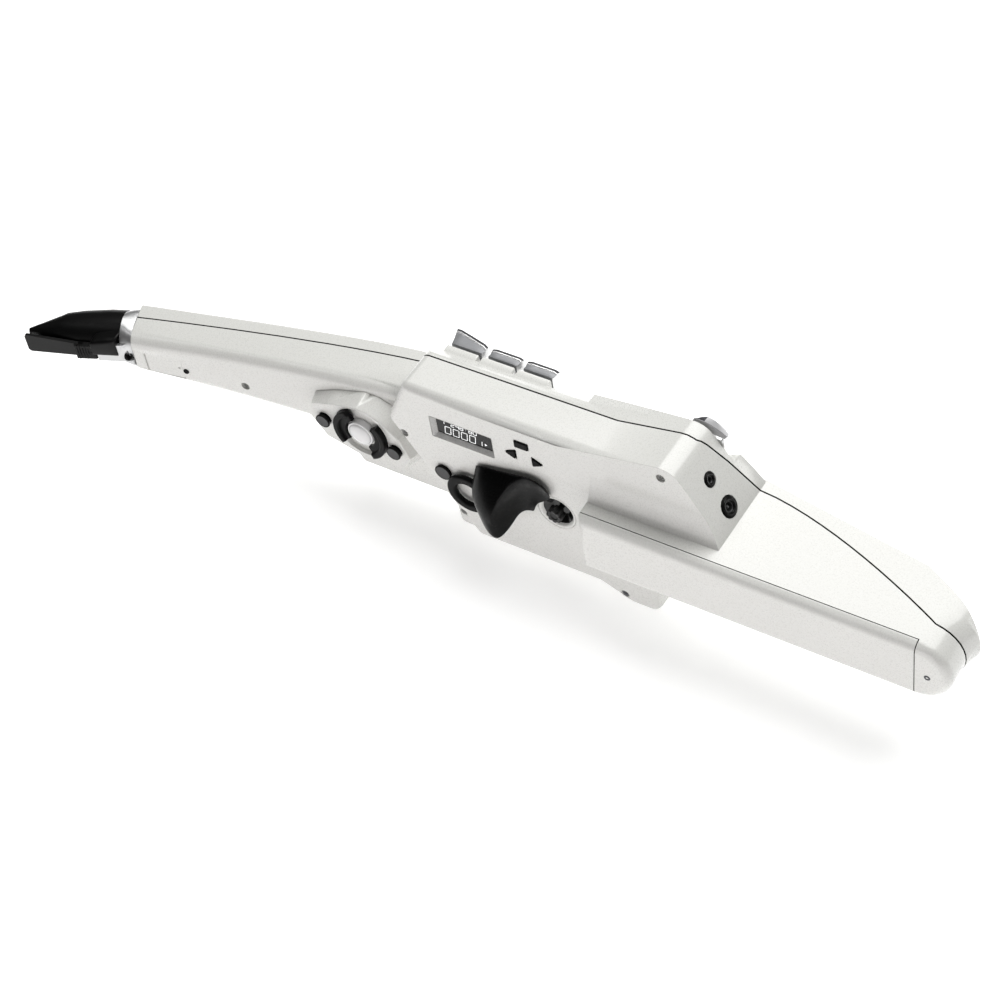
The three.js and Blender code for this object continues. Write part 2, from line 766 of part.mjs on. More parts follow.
function pearlKey({ x, z, radius, seat }) {
  const under = seat + keyDepth;
  const top = under + keyCapHeight;
  const edge = radius * 0.12;
  return turned([
    [0, stemEnd(x)], [stemRadius, stemEnd(x)], [stemRadius, under], [radius - edge, under], [radius, under + edge],
    [radius, top - edge], [radius - edge, top], [radius * 0.55, top - keyDish * 0.7], [0, top - keyDish],
  ], x, z, roundSides + 4);
}

function padKey({ x, z, length, width, seat }) {
  const under = seat + keyDepth;
  const cap = plate(rectangle(x, z, length, width, width * 0.3), under, under + padHeight, 0, padRoll, 3);
  return geometryOf(join([solid(cap), solid(pin(x, z, stemRadius, stemEnd(x), under + padHeight / 2))]));
}

// A right-hand side key: its top rises towards the mouthpiece on the first one.
function sideKey({ x, z, tall, seat }) {
  const under = seat + keyDepth;
  const [left, right] = [x - sideKeyLength / 2, x + sideKeyLength / 2];
  const top = under + sideKeyHeight;
  const edge = padRoll;
  const points = [
    [left, under], [right, under], [right + sideKeyFlare, top - edge / 2], [right + sideKeyFlare / 2, top],
    [left + edge, top + tall], [left + edge / 2, top + tall - edge / 2],
  ];
  const cap = sideProfile(points, z - sideKeyWidth / 2, z + sideKeyWidth / 2);
  return geometryOf(join([solid(cap), solid(pin(x, z, stemRadius, stemEnd(x), under + edge))]));
}

// Seats that stand on the front shell below each key, and the holes for the stems.
function keySeats() {
  const margin = keyBossMargin;
  const seats = [];
  const depth = frontHeight * 0.5;
  for (const { x, z, radius, seat } of pearlKeys()) seats.push(pin(x, z, radius + margin, seat - depth * 0.8, seat));
  for (const { x, z, length, width, seat } of padKeys()) {
    const corners = rectangle(x, z, length + margin * 2, width + margin * 2, width * 0.3);
    seats.push(plate(corners, seat - depth * 0.5, seat, 0, 0));
  }
  for (const { x } of sideKeys()) {
    const corners = rectangle(x, sideKeyZ, sideKeyLength + margin * 2, sideKeyWidth + margin, leastRadius * 4);
    seats.push(plate(corners, sideKeySeat - depth * 0.35, sideKeySeat, 0, 0));
  }
  return seats.map(solid);
}

// The raised deck under the right hand's three pearls.
function handDeck() {
  const deck = rectangle(rightHandX + pearlPitch * 0.7, 0, pearlPitch * 3 + pearlRadius, pearlRadius * 3.2, pearlRadius);
  return solid(plate(deck, frontHeight - handRise, frontHeight + handRise - gap, 0, blockRoll / 2));
}

const allKeys = () => [...pearlKeys(), ...padKeys(), ...sideKeys()];

function stemHoles() {
  const places = [...allKeys(), { x: cornerKeyX, z: cornerKeyZ, seat: cornerKeySeat }];
  return places.map(({ x, z, seat }) =>
    solid(pin(x, z, stemRadius + gap, keyBoardLevel - neckBoardDrop, seat + overrun)));
}

// Whole housing

function outerForm() {
  const crowned = join([
    solid(blockForm(0)).intersect(solid(crownForm(0, true))),
    solid(bulgeForm(0)).intersect(solid(crownForm(0, false))),
    solid(ledgeForm(0)),
  ]);
  const tail = solid(tailForm(0)).intersect(solid(tailProfile(0)));
  const seats = join([...keySeats(), handDeck()]);
  return join([crowned, tail, blendForm(), solid(neckForm(0)), solid(thumbFlangeForm(0)), seats]);
}

function innerForm() {
  const crowned = join([
    solid(blockForm(wall)).intersect(solid(crownForm(wall, true))),
    solid(bulgeForm(wall)).intersect(solid(crownForm(wall, false))),
    solid(ledgeForm(wall)),
  ]);
  const tail = solid(tailForm(wall)).intersect(solid(tailProfile(wall)));
  return join([crowned, tail, solid(neckForm(wall)), solid(thumbFlangeForm(wall))]);
}

const whole = outerForm();
const hollow = innerForm().subtract(cornerTub());
const shell = whole.subtract(hollow);

const socketHeight = 16.6;
const phonesUp = 27.5;
const powerInletUp = 9.5;

// Puts a piece turned about +Y onto the bulge's end face, so that its axis points out of the face.
function onFace(geometry, up) {
  const place = faceBase.clone().addScaledVector(faceAlong, up);
  return geometry.rotateZ(-Math.PI / 2).rotateY(faceTurn).translate(place.x, socketHeight, place.y);
}

function socket(radius, bore) {
  return turned([
    [bore, socketLip], [radius * 0.8, socketLip], [radius - gap, 0], [radius - gap, -socketDepth],
    [bore, -socketDepth], [bore, socketLip],
  ], 0, 0, roundSides + 4);
}

const socketHole = (radius, up) => solid(onFace(pin(0, 0, radius, -wall * 3, overrun), up));

// Volume dish: a black cup with a sloping wall, let into the rear shell
function volumeDish() {
  const [x, z] = [dishX, dishZ];
  return turned([
    [knobShaftRadius + gap, dishDepth], [dishFloorRadius, dishDepth], [dishRadius, 0], [dishRadius + dishWall, 0],
    [dishRadius + dishWall, wall * 0.35], [dishRadius - gap, wall * 0.35], [dishFloorRadius + dishWall, dishDepth + dishWall],
    [knobShaftRadius + gap, dishDepth + dishWall], [knobShaftRadius + gap, dishDepth],
  ], x, z, roundSides + 8);
}

function volumeDishHoles() {
  const rim = pin(dishX, dishZ, dishRadius + dishWall + gap, -overrun, wall * 0.35 + gap, roundSides + 8);
  const bore = pin(dishX, dishZ, dishRadius, -overrun, wall * 2, roundSides + 8);
  return [solid(rim), solid(bore)];
}

function volumeKnob() {
  const reach = dishDepth + dishWall + potDepth * 0.4;
  return turned([
    [0, -knobRise], [knobRadius * 0.85, -knobRise], [knobRadius, -knobRise * 0.8], [knobRadius, dishDepth - gap],
    [knobShaftRadius, dishDepth - gap], [knobShaftRadius, reach], [0, reach],
  ], dishX, dishZ);
}

function volumePot() {
  const low = dishDepth + dishWall + gap;
  return turned([
    [knobShaftRadius + gap, low], [potRadius, low], [potRadius, low + potDepth], [0, low + potDepth],
    [0, dishDepth + dishWall + potDepth * 0.4 + gap], [knobShaftRadius + gap, dishDepth + dishWall + potDepth * 0.4 + gap],
    [knobShaftRadius + gap, low],
  ], dishX, dishZ);
}

// Display and its buttons
const windowX = blockX(0.3875);
const windowZ = blockZ(0.53);

function displayWindow() {
  return plate(rectangle(windowX, windowZ, windowLength - gap * 2, windowWidth - gap * 2, 1), windowSink,
    windowSink + windowThickness);
}

function displayModule() {
  const rear = windowSink + windowThickness + gap;
  const front = boardRear - gap;
  const margin = wall;
  const face = plate(rectangle(windowX, windowZ, windowLength - gap * 2, windowWidth - gap * 2, 1), rear, wall + gap + margin);
  const body = plate(rectangle(windowX, windowZ, windowLength + margin, windowWidth + margin, 1), wall + gap, front);
  return geometryOf(join([solid(face), solid(body)]));
}

const menuCorners = (extra) => rectangle(blockX(0.686), blockZ(0.737), menuLength + extra, menuWidth + extra, 0.6);

// An arrow-shaped button that points along X, left for -1 and right for 1.
function arrowCorners(x, z, way, extra) {
  const [u, v] = [arrowLength / 2 + extra, arrowWidth / 2 + extra];
  return [[x - way * u, z - v, 0.6], [x + way * u, z, 0.6], [x - way * u, z + v, 0.6]];
}

const rearButtons = {
  menu_button: (extra) => menuCorners(extra),
  left_button: (extra) => arrowCorners(blockX(0.625), blockZ(0.569), -1, extra),
  right_button: (extra) => arrowCorners(blockX(0.756), blockZ(0.551), 1, extra),
};

function rearButton(corners) {
  const flangeRear = wall + gap;
  const cap = plate(corners(-gap * 2), -buttonRise, flangeRear + buttonFlangeThickness, buttonRise / 2, 0, 2);
  const flange = plate(corners(buttonFlange), flangeRear, flangeRear + buttonFlangeThickness);
  return geometryOf(join([solid(cap), solid(flange)]));
}

const rearButtonHole = (corners) => solid(plate(corners(0), -overrun, wall * 2));

const powerX = blockX(0.26);
const powerZ = blockZ(-0.118);

function powerButton() {
  const flangeRear = wall + gap;
  return turned([
    [0, -buttonRise], [powerRadius - gap * 2, -buttonRise], [powerRadius - gap, -buttonRise / 2],
    [powerRadius - gap, flangeRear], [powerRadius + buttonFlange, flangeRear],
    [powerRadius + buttonFlange, flangeRear + buttonFlangeThickness], [0, flangeRear + buttonFlangeThickness],
  ], powerX, powerZ);
}

// Screw wells on the rear, each [x, z, level of the rear face]
function screwPlaces() {
  const neckWell = neckStation(neckShareAt(neckEnd + neckScrewFromEnd));
  return [
    [blockX(0.083), blockZ(0.255), 0],
    [blockX(0.317), blockZ(-0.696), 0],
    [blockX(1.099), blockZ(-1.02), 0],
    [bulgeRight - bulgeLength * 0.46, blockHalfWidth, 0],
    [neckWell.x, neckScrewSide, neckWell.rear],
  ];
}

const screwWells = () => screwPlaces().map(([x, z, rear]) =>
  solid(pin(x, z, screwWellRadius, rear - overrun, rear + screwWellDepth, roundSides - 4)));

// Neck cover, its seat and its hinge bead
const doorCentre = neckStation(neckShareAt(neckEnd + doorLength));
const doorSide = -1.2;
const doorSlope = Math.atan2(
  neckStation(neckShareAt(doorCentre.x + doorLength / 2)).rear - neckStation(neckShareAt(doorCentre.x - doorLength / 2)).rear,
  doorLength,
);

// Tilts a piece made about the neck's rear face so that it lies on it.
const onNeck = (geometry) => geometry.rotateZ(doorSlope).translate(doorCentre.x, doorCentre.rear, doorSide);

function neckDoor() {
  const panel = plate(rectangle(0, 0, doorLength, doorWidth, 1.2), 0, doorThickness, doorBead / 2, 0, 2);
  const catchBead = pin(doorLength / 2 - doorBead * 3, 0, doorBead, -doorBead / 2, doorThickness / 2, roundSides - 6);
  return onNeck(geometryOf(join([solid(panel), solid(catchBead)])));
}

function neckDoorSeat() {
  const seat = rectangle(0, 0, doorLength + gap * 2, doorWidth + gap * 2, 1.2);
  return solid(onNeck(plate(seat, -overrun, doorThickness + gap)));
}

// Inside supports
const postPlaces = () => [
  [blockX(0.18), blockZ(0.62)], [blockX(0.36), blockZ(-0.62)], [blockX(0.9), blockZ(0.72)], [blockX(0.9), blockZ(-0.74)],
];

function boardPosts() {
  return postPlaces().map(([x, z]) => solid(pin(x, z, postRadius, wall / 2, boardRear - gap, roundSides - 6)));
}

function keyBoardPosts() {
  const top = keyBoardLevel + boardThickness + gap;
  return [[blockX(0.36), blockZ(0.5)], [blockX(0.75), blockZ(0.5)], [blockX(0.9), blockZ(-0.5)]]
    .map(([x, z]) => solid(pin(x, z, postRadius, top, frontHeight - wall / 2, roundSides - 6)));
}

// Battery lid: the outer slice of the ridge
const lidEdge = -ridgeHeight + lidDepth;

function lidForm() {
  const slice = solid(box(ridgeLeft - overrun, 0, -ridgeHeight - overrun, lidEdge, -ridgeHalfWidth * 2, ridgeHalfWidth * 2));
  const inner = solid(box(ridgeLeft + wall, wall, -ridgeHeight + wall * 0.8, ridgeHeight, -ridgeHalfWidth + wall, ridgeHalfWidth - wall));
  return solid(tailForm(0)).intersect(slice).subtract(inner);
}

const lidRoom = () => [
  solid(box(ridgeLeft - overrun, gap, -ridgeHeight - overrun, lidEdge + gap, -ridgeHalfWidth * 2, ridgeHalfWidth * 2)),
];

// Speaker behind the slots in the bell's front face
const tailSlope = Math.atan2(bellFront - tailFront, -bellEnd * 0.62 - bulgeRight);
const speakerX = -speakerFromSeam;
const speakerFront = tailFront + (speakerX - bulgeRight) * Math.tan(tailSlope) - wall / Math.cos(tailSlope);
const onTail = (geometry) => geometry.rotateZ(tailSlope).translate(speakerX, speakerFront, 0);

function speaker() {
  const rim = -wall * 0.8;
  return onTail(turned([
    [0, -speakerDepth], [speakerRadius * 0.45, -speakerDepth], [speakerRadius * 0.5, -speakerDepth * 0.6],
    [speakerRadius - wall / 2, rim], [speakerRadius, rim], [speakerRadius, -gap], [speakerRadius - wall / 2, -gap],
    [speakerRadius * 0.4, rim * 1.8], [0, rim * 1.5],
  ], 0, 0, roundSides + 4));
}

function grilleSlots() {
  const slots = [];
  const count = Math.floor((speakerRadius * 2 - grilleSlotWidth) / grilleSlotPitch);
  for (let k = 0; k < count; k += 1) {
    const u = (k - (count - 1) / 2) * grilleSlotPitch;
    const half = Math.sqrt(grilleHalfWidth ** 2 - (u * 0.75) ** 2);
    const slot = rectangle(u, 0, grilleSlotWidth, half * 2, grilleSlotWidth * 0.49);
    slots.push(solid(onTail(plate(slot, -gap, wall + overrun, 0, 0))));
  }
  return slots;
}

// Shells

// The flange at the left thumb belongs to the rear shell at its whole height.
function flangeRoom(grow) {
  const [u0, v0] = blockCornerShares[1];
  const [u1, v1] = blockCornerShares[2];
  const inner = -neckRootHalfWidth - gap + grow;
  const edgeAt = (z) => blockX(u0 + ((z / blockHalfWidth - v0) * (u1 - u0)) / (v1 - v0)) - gap + grow;
  const [left, far] = [blockX(thumbFlangeShares[0][0]) - overrun, -blockHalfWidth];
  const plan = [[left, inner], [left, far], [edgeAt(far), far], [edgeAt(inner), inner]];
  const outline = plan.map(([x, z]) => new THREE.Vector2(x, z));
  return solid(stack([{ outline, at: thumbFlangeRear - overrun }, { outline, at: frontHeight * 2 }]));
}

function rearHousing() {
  const shellPart = join([shell, ...boardPosts()]).intersect(join([solid(seamCutter(false)), flangeRoom(0)]));
  const buttons = Object.values(rearButtons).map(rearButtonHole);
  const windowHole = solid(plate(rectangle(windowX, windowZ, windowLength, windowWidth, 1), -overrun, wall * 2));
  const powerHole = solid(pin(powerX, powerZ, powerRadius, -overrun, wall * 2));
  const sockets = [socketHole(phonesRadius, phonesUp), socketHole(powerInletRadius, powerInletUp)];
  return cut(shellPart, [
    ...stemHoles(), ...lidRoom(), ...buttons, windowHole, powerHole, ...volumeDishHoles(), ...sockets, ...screwWells(), neckDoorSeat(),
  ]);
}

function frontHousing() {
  const shellPart = join([shell, ...keyBoardPosts()]).intersect(solid(seamCutter(true))).subtract(flangeRoom(gap));
  return cut(shellPart, [...stemHoles(), ...grilleSlots(), cornerPocket()]);
}

// Left thumb place
const plateCornerShares = [
  [-0.33, 0.245], [-0.178, 0.345], [-0.113, 0.324], [-0.048, 0.238], [0.024, 0.048], [0.071, -0.262],
  [0.024, -0.5], [-0.19, -0.548], [-0.37, -0.405], [-0.443, -0.095], [-0.42, 0.143],
];

const thumbPlateRear = thumbFlangeRear - thumbPlateHeight;

function thumbPlateCorners() {
  return plateCornerShares.map(([u, v]) => [blockX(u) - gap, v * thumbFlangeHalfWidth, blockCornerRadius / 4]);
}

function thumbPlate() {
  const outline = roundedOutline(thumbPlateCorners(), 0, 2);
  const flared = roundedOutline(thumbPlateCorners(), -thumbPlateFlare, 2);
  const body = solid(stack([
    { outline: roundedOutline(thumbPlateCorners(), gap * 2, 2), at: thumbPlateRear },
    { outline, at: thumbPlateRear + gap * 2 },
    { outline: flared, at: thumbFlangeRear + wall },
  ]));
  const wells = [
    solid(pin(thumbX, thumbZ, arcKeyOuter + gap, thumbPlateRear - overrun, thumbPlateRear + wall, roundSides * 2)),
    ...thumbButtonPlaces().map(([x, z]) => solid(pin(x, z, thumbButtonRadius + gap, thumbPlateRear - overrun, thumbPlateRear + wall))),
  ];
  const away = [[0, -gap], [-gap, 0]].map(([x, y]) => solid(geometryOf(whole).translate(x, y, 0)));
  return cut(body, [...wells, ...away]);
}

const thumbButtonPlaces = () => [[thumbX - blockLength * 0.19, thumbZ + gap * 2], [thumbX + blockLength * 0.17, thumbZ - blockHalfWidth * 0.09]];

function thumbRest() {
  const rear = thumbPlateRear - thumbRestRise;
  return turned([
    [0, rear], [thumbRestRadius * 0.6, rear + thumbRestRise * 0.25], [thumbRestRadius, thumbPlateRear],
    [thumbRestRadius, thumbPlateRear + wall - gap], [0, thumbPlateRear + wall - gap],
  ], thumbX, thumbZ, roundSides + 8);
}

// An arc-shaped key beside the thumb rest, centred on a direction in the X-Z plane.
function arcKey(direction) {
  const steps = arcSteps * 2;
  const outline = [];
  for (let k = 0; k <= steps; k += 1) {
    const turn = direction - arcKeySpan / 2 + (arcKeySpan * k) / steps;
    outline.push(new THREE.Vector2(thumbX + arcKeyOuter * Math.cos(turn), thumbZ + arcKeyOuter * Math.sin(turn)));
  }
  for (let k = steps; k >= 0; k -= 1) {
    const turn = direction - arcKeySpan / 2 + (arcKeySpan * k) / steps;
    outline.push(new THREE.Vector2(thumbX + arcKeyInner * Math.cos(turn), thumbZ + arcKeyInner * Math.sin(turn)));
  }
  return stack([
    { outline, at: thumbPlateRear - arcKeyRise },
    { outline, at: thumbPlateRear + wall - gap - keyTravel },
  ]);
}

function thumbButton([x, z]) {
  const rear = thumbPlateRear - thumbButtonRise;
  return turned([
    [0, rear], [thumbButtonRadius * 0.8, rear], [thumbButtonRadius, rear + thumbButtonRise * 0.3],
    [thumbButtonRadius, thumbPlateRear + wall - gap - keyTravel], [0, thumbPlateRear + wall - gap - keyTravel],
  ], x, z);
}

// Thumb hook: a ribbon that lies on the block, turns up and curls towards the bell.
// Each row: place along the hook and reach from the block as shares, then the top and bottom edge as shares.
// Rows of the hook from the right end of its foot, round the bend and out to its lip: shares of its length from
// the left, of its reach, of its half width for the top and the bottom edge, and of its thickness.
const hookShares = [
  [1, 0.08, 0.6, 0.2, 0.6], [0.83, 0.09, 0.7, -0.28, 0.75], [0.56, 0.1, 0.62, -0.44, 0.9], [0.25, 0.11, 0.52, -0.44, 1],
  [0.07, 0.17, 0.43, -0.2, 1.05], [0.03, 0.34, 0.38, -0.24, 1.05], [0.14, 0.56, 0.34, -0.5, 1], [0.33, 0.82, 0.28, -0.98, 0.95],
  [0.52, 0.94, 0.24, -0.9, 0.85], [0.77, 0.98, 0.16, -0.22, 0.6],
];

function thumbHook() {
  const left = hookLeft;
  const spine = hookShares.map(([u, v]) => new THREE.Vector3(left + u * hookLength, -v * hookReach - gap, 0));
  const curve = new THREE.CatmullRomCurve3(spine);
  const rows = hookRows;
  const at = (column, share) => {
    const place = share * (hookShares.length - 1);
    const index = Math.min(Math.floor(place), hookShares.length - 2);
    return THREE.MathUtils.lerp(hookShares[index][column], hookShares[index + 1][column], place - index);
  };
  const rings = [];
  for (let k = 0; k <= rows; k += 1) {
    const share = k / rows;
    const centre = curve.getPoint(share);
    const along = curve.getTangent(share);
    const across = new THREE.Vector3(-along.y, along.x, 0).normalize();
    const half = (hookThickness * at(4, share)) / 2;
    const [top, bottom] = [at(2, share) * hookHalfWidth, at(3, share) * hookHalfWidth];
    const edge = half * hookEdgeShare;
    const ring = [[-half, top - edge], [-half + edge, top], [half - edge, top], [half, top - edge],
      [half, bottom + edge], [half - edge, bottom], [-half + edge, bottom], [-half, bottom + edge]];
    rings.push(ring.map(([n, z]) => centre.clone().addScaledVector(across, n).setZ(z)));
  }
  const flat = (ring) => ring.map((point) => new THREE.Vector2(point.y, point.z));
  const body = solid(loft(rings, [flat(rings[0]), flat(rings.at(-1))]));
  const under = solid(box(left - hookLength, left + hookLength * 2, -gap, hookReach, -hookHalfWidth * 3, hookHalfWidth * 3));
  return body.subtract(under);
}

function strapRing() {
  const [x, z] = [strapX, strapZ];
  const rear = -strapStand - strapThickness;
  const loop = turned([
    [strapInner, rear + 0.8], [strapInner + 0.8, rear], [strapOuter - 0.8, rear], [strapOuter, rear + 0.8],
    [strapOuter, -strapStand], [strapInner, -strapStand], [strapInner, rear + 0.8],
  ], x, z, roundSides + 8);
  const foot = plate(rectangle(x + strapOuter * 0.7, z - strapOuter * 0.5, strapOuter * 0.5, strapOuter * 0.6, 1), rear + 1, -gap);
  return join([solid(loop), solid(foot)]);
}

// Batteries and their tray

const cellLength = (lidLength - lidSpare) / cellRows - cellTipLength - gap;
const cellCentreY = -ridgeHeight + wall * 0.8 + gap + cellRadius;
const cellStart = -(cellLength + cellTipLength + gap) * cellRows - wall - trayWall;

function batteryCell() {
  const profile = [
    [0, 0], [cellRadius - 0.5, 0], [cellRadius, 0.5], [cellRadius, cellLength - 0.5], [cellRadius - 0.5, cellLength],
    [cellTipRadius, cellLength], [cellTipRadius, cellLength + cellTipLength], [0, cellLength + cellTipLength],
  ];
  return turned(profile, 0, 0, roundSides - 2);
}

function batteryTray() {
  const top = cellCentreY + cellRadius + gap;
  const half = cellRadius * 2 + gap * 3;
  const start = cellStart - gap - trayWall;
  const end = -wall + gap;
  return geometryOf(join([
    solid(box(start, end, top, top + trayWall, -half, half)),
    solid(box(start, start + trayWall, cellCentreY - cellRadius / 2, top + trayWall, -half, half)),
    solid(box(end - trayWall, end, cellCentreY - cellRadius / 2, top + trayWall, -half, half)),
  ]));
}

// Boards

function mainBoard() {
  const corners = [
    [blockX(0.12), blockZ(0.8), 2], [blockX(0.12), blockZ(0.1), 2], [blockX(0.42), blockZ(-0.82), 2],
    [blockX(0.98), blockZ(-0.82), 2], [blockX(0.98), blockZ(0.8), 2],
  ];
  return plate(corners, boardRear, boardRear + boardThickness);
}

function keyBoard() {
  const level = keyBoardLevel;
  const corners = [
    [blockX(0.16), blockZ(0.74), 3], [blockX(0.09), blockZ(0.34), 3], [blockX(0.42), blockZ(-0.76), 3],
    [blockX(1.09), blockZ(-0.76), 3], [blockX(1.09), 0, 3], [blockX(1.4), 0, 3], [blockX(1.4), blockZ(0.74), 3],
    [blockX(1.36), blockZ(1.07), 3], [blockX(1.2), blockZ(1), 3], [blockX(1.09), blockZ(0.74), 3],
  ];
  const wide = plate(corners, level, level + boardThickness);
  const start = blockX(-0.52);
  const strip = sideProfile([
    [start, level - neckBoardDrop], [blockX(0.02), level - neckBoardDrop], [blockX(0.13), level],
    [blockX(0.2), level], [blockX(0.2), level + boardThickness], [blockX(0.12), level + boardThickness],
    [blockX(0.01), level - neckBoardDrop + boardThickness], [start, level - neckBoardDrop + boardThickness],
  ], -neckBoardHalfWidth, neckBoardHalfWidth);
  return geometryOf(join([solid(wide), solid(strip)]));
}

// Neck ring, mouthpiece and breath parts. They lie along an axis that bends down from the neck's end.

const neckTip = neckStation(0);
const mouthAxisY = (neckTip.rear + neckTip.front) / 2;

// Puts a piece made along -X, with the neck's end at 0, onto the axis that bends down from the neck.
const onMouth = (geometry) => geometry.rotateZ(tilt).translate(neckTip.x, mouthAxisY, neckSide);

function ovalRing(x, centre, rise, fall, half, power = 2) {
  const steps = arcSteps * 6;
  return Array.from({ length: steps }, (_, k) => {
    const turn = (Math.PI * 2 * k) / steps;
    const [c, s] = [Math.cos(turn), Math.sin(turn)];
    const y = Math.sign(c) * Math.abs(c) ** (2 / power) * (c > 0 ? rise : fall);
    return new THREE.Vector3(x, centre + y, Math.sign(s) * Math.abs(s) ** (2 / power) * half);
  });
}

const flatRing = (ring) => ring.map((point) => new THREE.Vector2(point.y, point.z));
const loftRings = (rings) => loft(rings, [flatRing(rings[0]), flatRing(rings.at(-1))]);

const ringRight = -gap;
const ringLeft = ringRight - ringLength;
const neckTipHalf = (neckTip.front - neckTip.rear) / 2 / Math.cos(tilt);

function neckRing() {
  const rows = [[ringRight, 0, neckTipHalf, neckEndHalfWidth, 3.4], [ringLeft, ringRaise, ringRadius, ringRadius, 2]];
  const rings = [0, 0.35, 0.7, 1].map((share) => {
    const [x, centre, high, half, power] = rows[0].map((value, k) => THREE.MathUtils.lerp(value, rows[1][k], share));
    return ovalRing(x, centre, high, high, half, power);
  });
  const bore = [overrun, -overrun].map((extra, k) =>
    ovalRing([ringRight, ringLeft][k] + extra, 0, tubeRadius * 3, tubeRadius * 3, tubeRadius * 3));
  const tongue = box(ringLeft - mouthLength * tongueShare, ringLeft + overrun, -tongueDrop, -tongueDrop + tongueThickness,
    -tongueHalfWidth, tongueHalfWidth);
  const screw = pin((ringLeft + ringRight) / 2, 0, ringScrewRadius, -ringRadius - overrun, -ringRadius + wall, roundSides - 4);
  return cut(join([solid(onMouth(loftRings(rings))), solid(onMouth(tongue))]), [solid(onMouth(loftRings(bore))), solid(onMouth(screw))]);
}

const beakStart = ringLeft - gap;
const beakTip = beakStart - mouthLength;

// Rows of the beak, from the ring to the tip: share of its length, then shares of the ring's radius for the
// middle's height, the rise and the fall from it, and half the width.
const beakShares = [
  [0, 0.22, 0.88, 0.88, 0.89], [0.17, 0.224, 0.895, 0.895, 0.89], [0.45, 0.2, 0.83, 0.83, 0.83],
  [0.62, 0.2, 0.7, 0.69, 0.76], [0.66, 0.17, 0.62, 0.62, 0.72], [0.84, 0.03, 0.36, 0.36, 0.55],
  [0.96, -0.02, 0.21, 0.2, 0.4], [1, -0.03, 0.14, 0.13, 0.34],
];

function beakRings(grow = 0) {
  return beakShares.map(([share, ...sizes]) => {
    const [centre, rise, fall, half] = sizes.map((value) => value * ringRadius);
    return ovalRing(beakStart - share * mouthLength, centre, rise + grow, fall + grow, half + grow, 2.2);
  });
}

// The flat table under the beak, which the reed lies on: its height at a place along the axis.
const tableTip = -tableDropShare * ringRadius;
const tableAt = (x) => tableTip - (x - beakTip) * tableSlope;

function tableCut() {
  const [start, end] = [beakStart - mouthLength * 0.24, beakTip - overrun];
  const far = -ringRadius * 2;
  return sideProfile([[start, tableAt(start)], [start, far], [end, far], [end, tableAt(end)]], -ringRadius * 2, ringRadius * 2);
}

function mouthpieceBody() {
  const beak = solid(onMouth(loftRings(beakRings())));
  const bore = [[overrun, 0, 0.6, 0.6], [-mouthLength * 0.5, -0.1, 0.6, 0.6], [-mouthLength - overrun, -0.23, 0.1, 0.8]];
  const rings = bore.map(([along, centre, high, half]) =>
    ovalRing(beakStart + along, centre * ringRadius, high * mouthBore, high * mouthBore, half * mouthBore));
  return cut(beak, [solid(onMouth(loftRings(rings))), solid(onMouth(tableCut()))]);
}

const clampLeft = beakTip + mouthLength * clampShare;
const clampLength = mouthLength * clampLengthShare;
const reedRoot = clampLeft + clampLength * 0.45;

// The reed in plan, wider at its tip, and in side view, thinner at its tip.
function reedForm(grow = 0) {
  const tip = beakTip - reedTipGap;
  const [top, rootTop] = [tableAt(tip) - reedTipGap + grow, tableAt(reedRoot) - gap + grow];
  const side = sideProfile([
    [tip - grow, top], [reedRoot + grow, rootTop],
    [reedRoot + grow, rootTop - reedRootThickness - grow * 2], [tip - grow, top - reedTipThickness - grow * 2],
  ], -ringRadius, ringRadius);
  const plan = plate([
    [tip - grow, -reedTipHalfWidth - grow, 2], [reedRoot + grow, -reedRootHalfWidth - grow, leastRadius],
    [reedRoot + grow, reedRootHalfWidth + grow, leastRadius], [tip - grow, reedTipHalfWidth + grow, 2],
  ], -ringRadius * 2, ringRadius);
  return solid(onMouth(side)).intersect(solid(onMouth(plan)));
}

function mouthpieceClamp() {
  const right = clampLeft + clampLength;
  const points = [
    [clampLeft, tableAt(clampLeft) - gap], [clampLeft + clampEdge, -clampDrop], [right - clampEdge, -clampDrop],
    [right, -clampDrop + clampEdge], [right, tableAt(right) - gap],
  ];
  return cut(solid(onMouth(sideProfile(points, -clampHalfWidth, clampHalfWidth))), [reedForm(gap)]);
}

function breathTube() {
  const start = new THREE.Vector3(beakStart - mouthLength * 0.3, 0, 0);
  const middle = new THREE.Vector3(0, 0, 0);
  const sensorX = neckEnd + doorLength * 1.1;
  const level = neckStation(neckShareAt(sensorX)).rear + sensorDepth + wall + doorThickness;
  const end = new THREE.Vector3(sensorX - neckTip.x, level - mouthAxisY, 0);
  const turn = new THREE.Euler(0, 0, tilt);
  const place = new THREE.Vector3(neckTip.x, mouthAxisY, neckSide);
  const points = [start.applyEuler(turn).add(place), middle.add(place), end.add(place)];
  const ring = new THREE.Shape().absarc(0, 0, tubeRadius, 0, Math.PI * 2);
  ring.holes.push(new THREE.Path().absarc(0, 0, tubeRadius / 2, 0, Math.PI * 2, true));
  const path = new THREE.CatmullRomCurve3(points);
  return new THREE.ExtrudeGeometry(ring, { extrudePath: path, steps: 8, curveSegments: 4, bevelEnabled: false });
}

function breathSensor() {
  const x = neckEnd + doorLength * 1.1 + gap;
  const station = neckStation(neckShareAt(x + sensorLength / 2));
  const low = station.rear + wall + doorThickness + gap * 2;
  return box(x, x + sensorLength, low, low + sensorDepth,
    neckSide - sensorWidth / 2, neckSide + sensorWidth / 2);
}

// The assembly

const instrument = new THREE.Group();

function add(name, shape, material) {
  const geometry = shape instanceof THREE.BufferGeometry ? shape : geometryOf(shape);
  const mesh = new THREE.Mesh(geometry, material);
  mesh.name = name;
  instrument.add(mesh);
  return mesh;
}

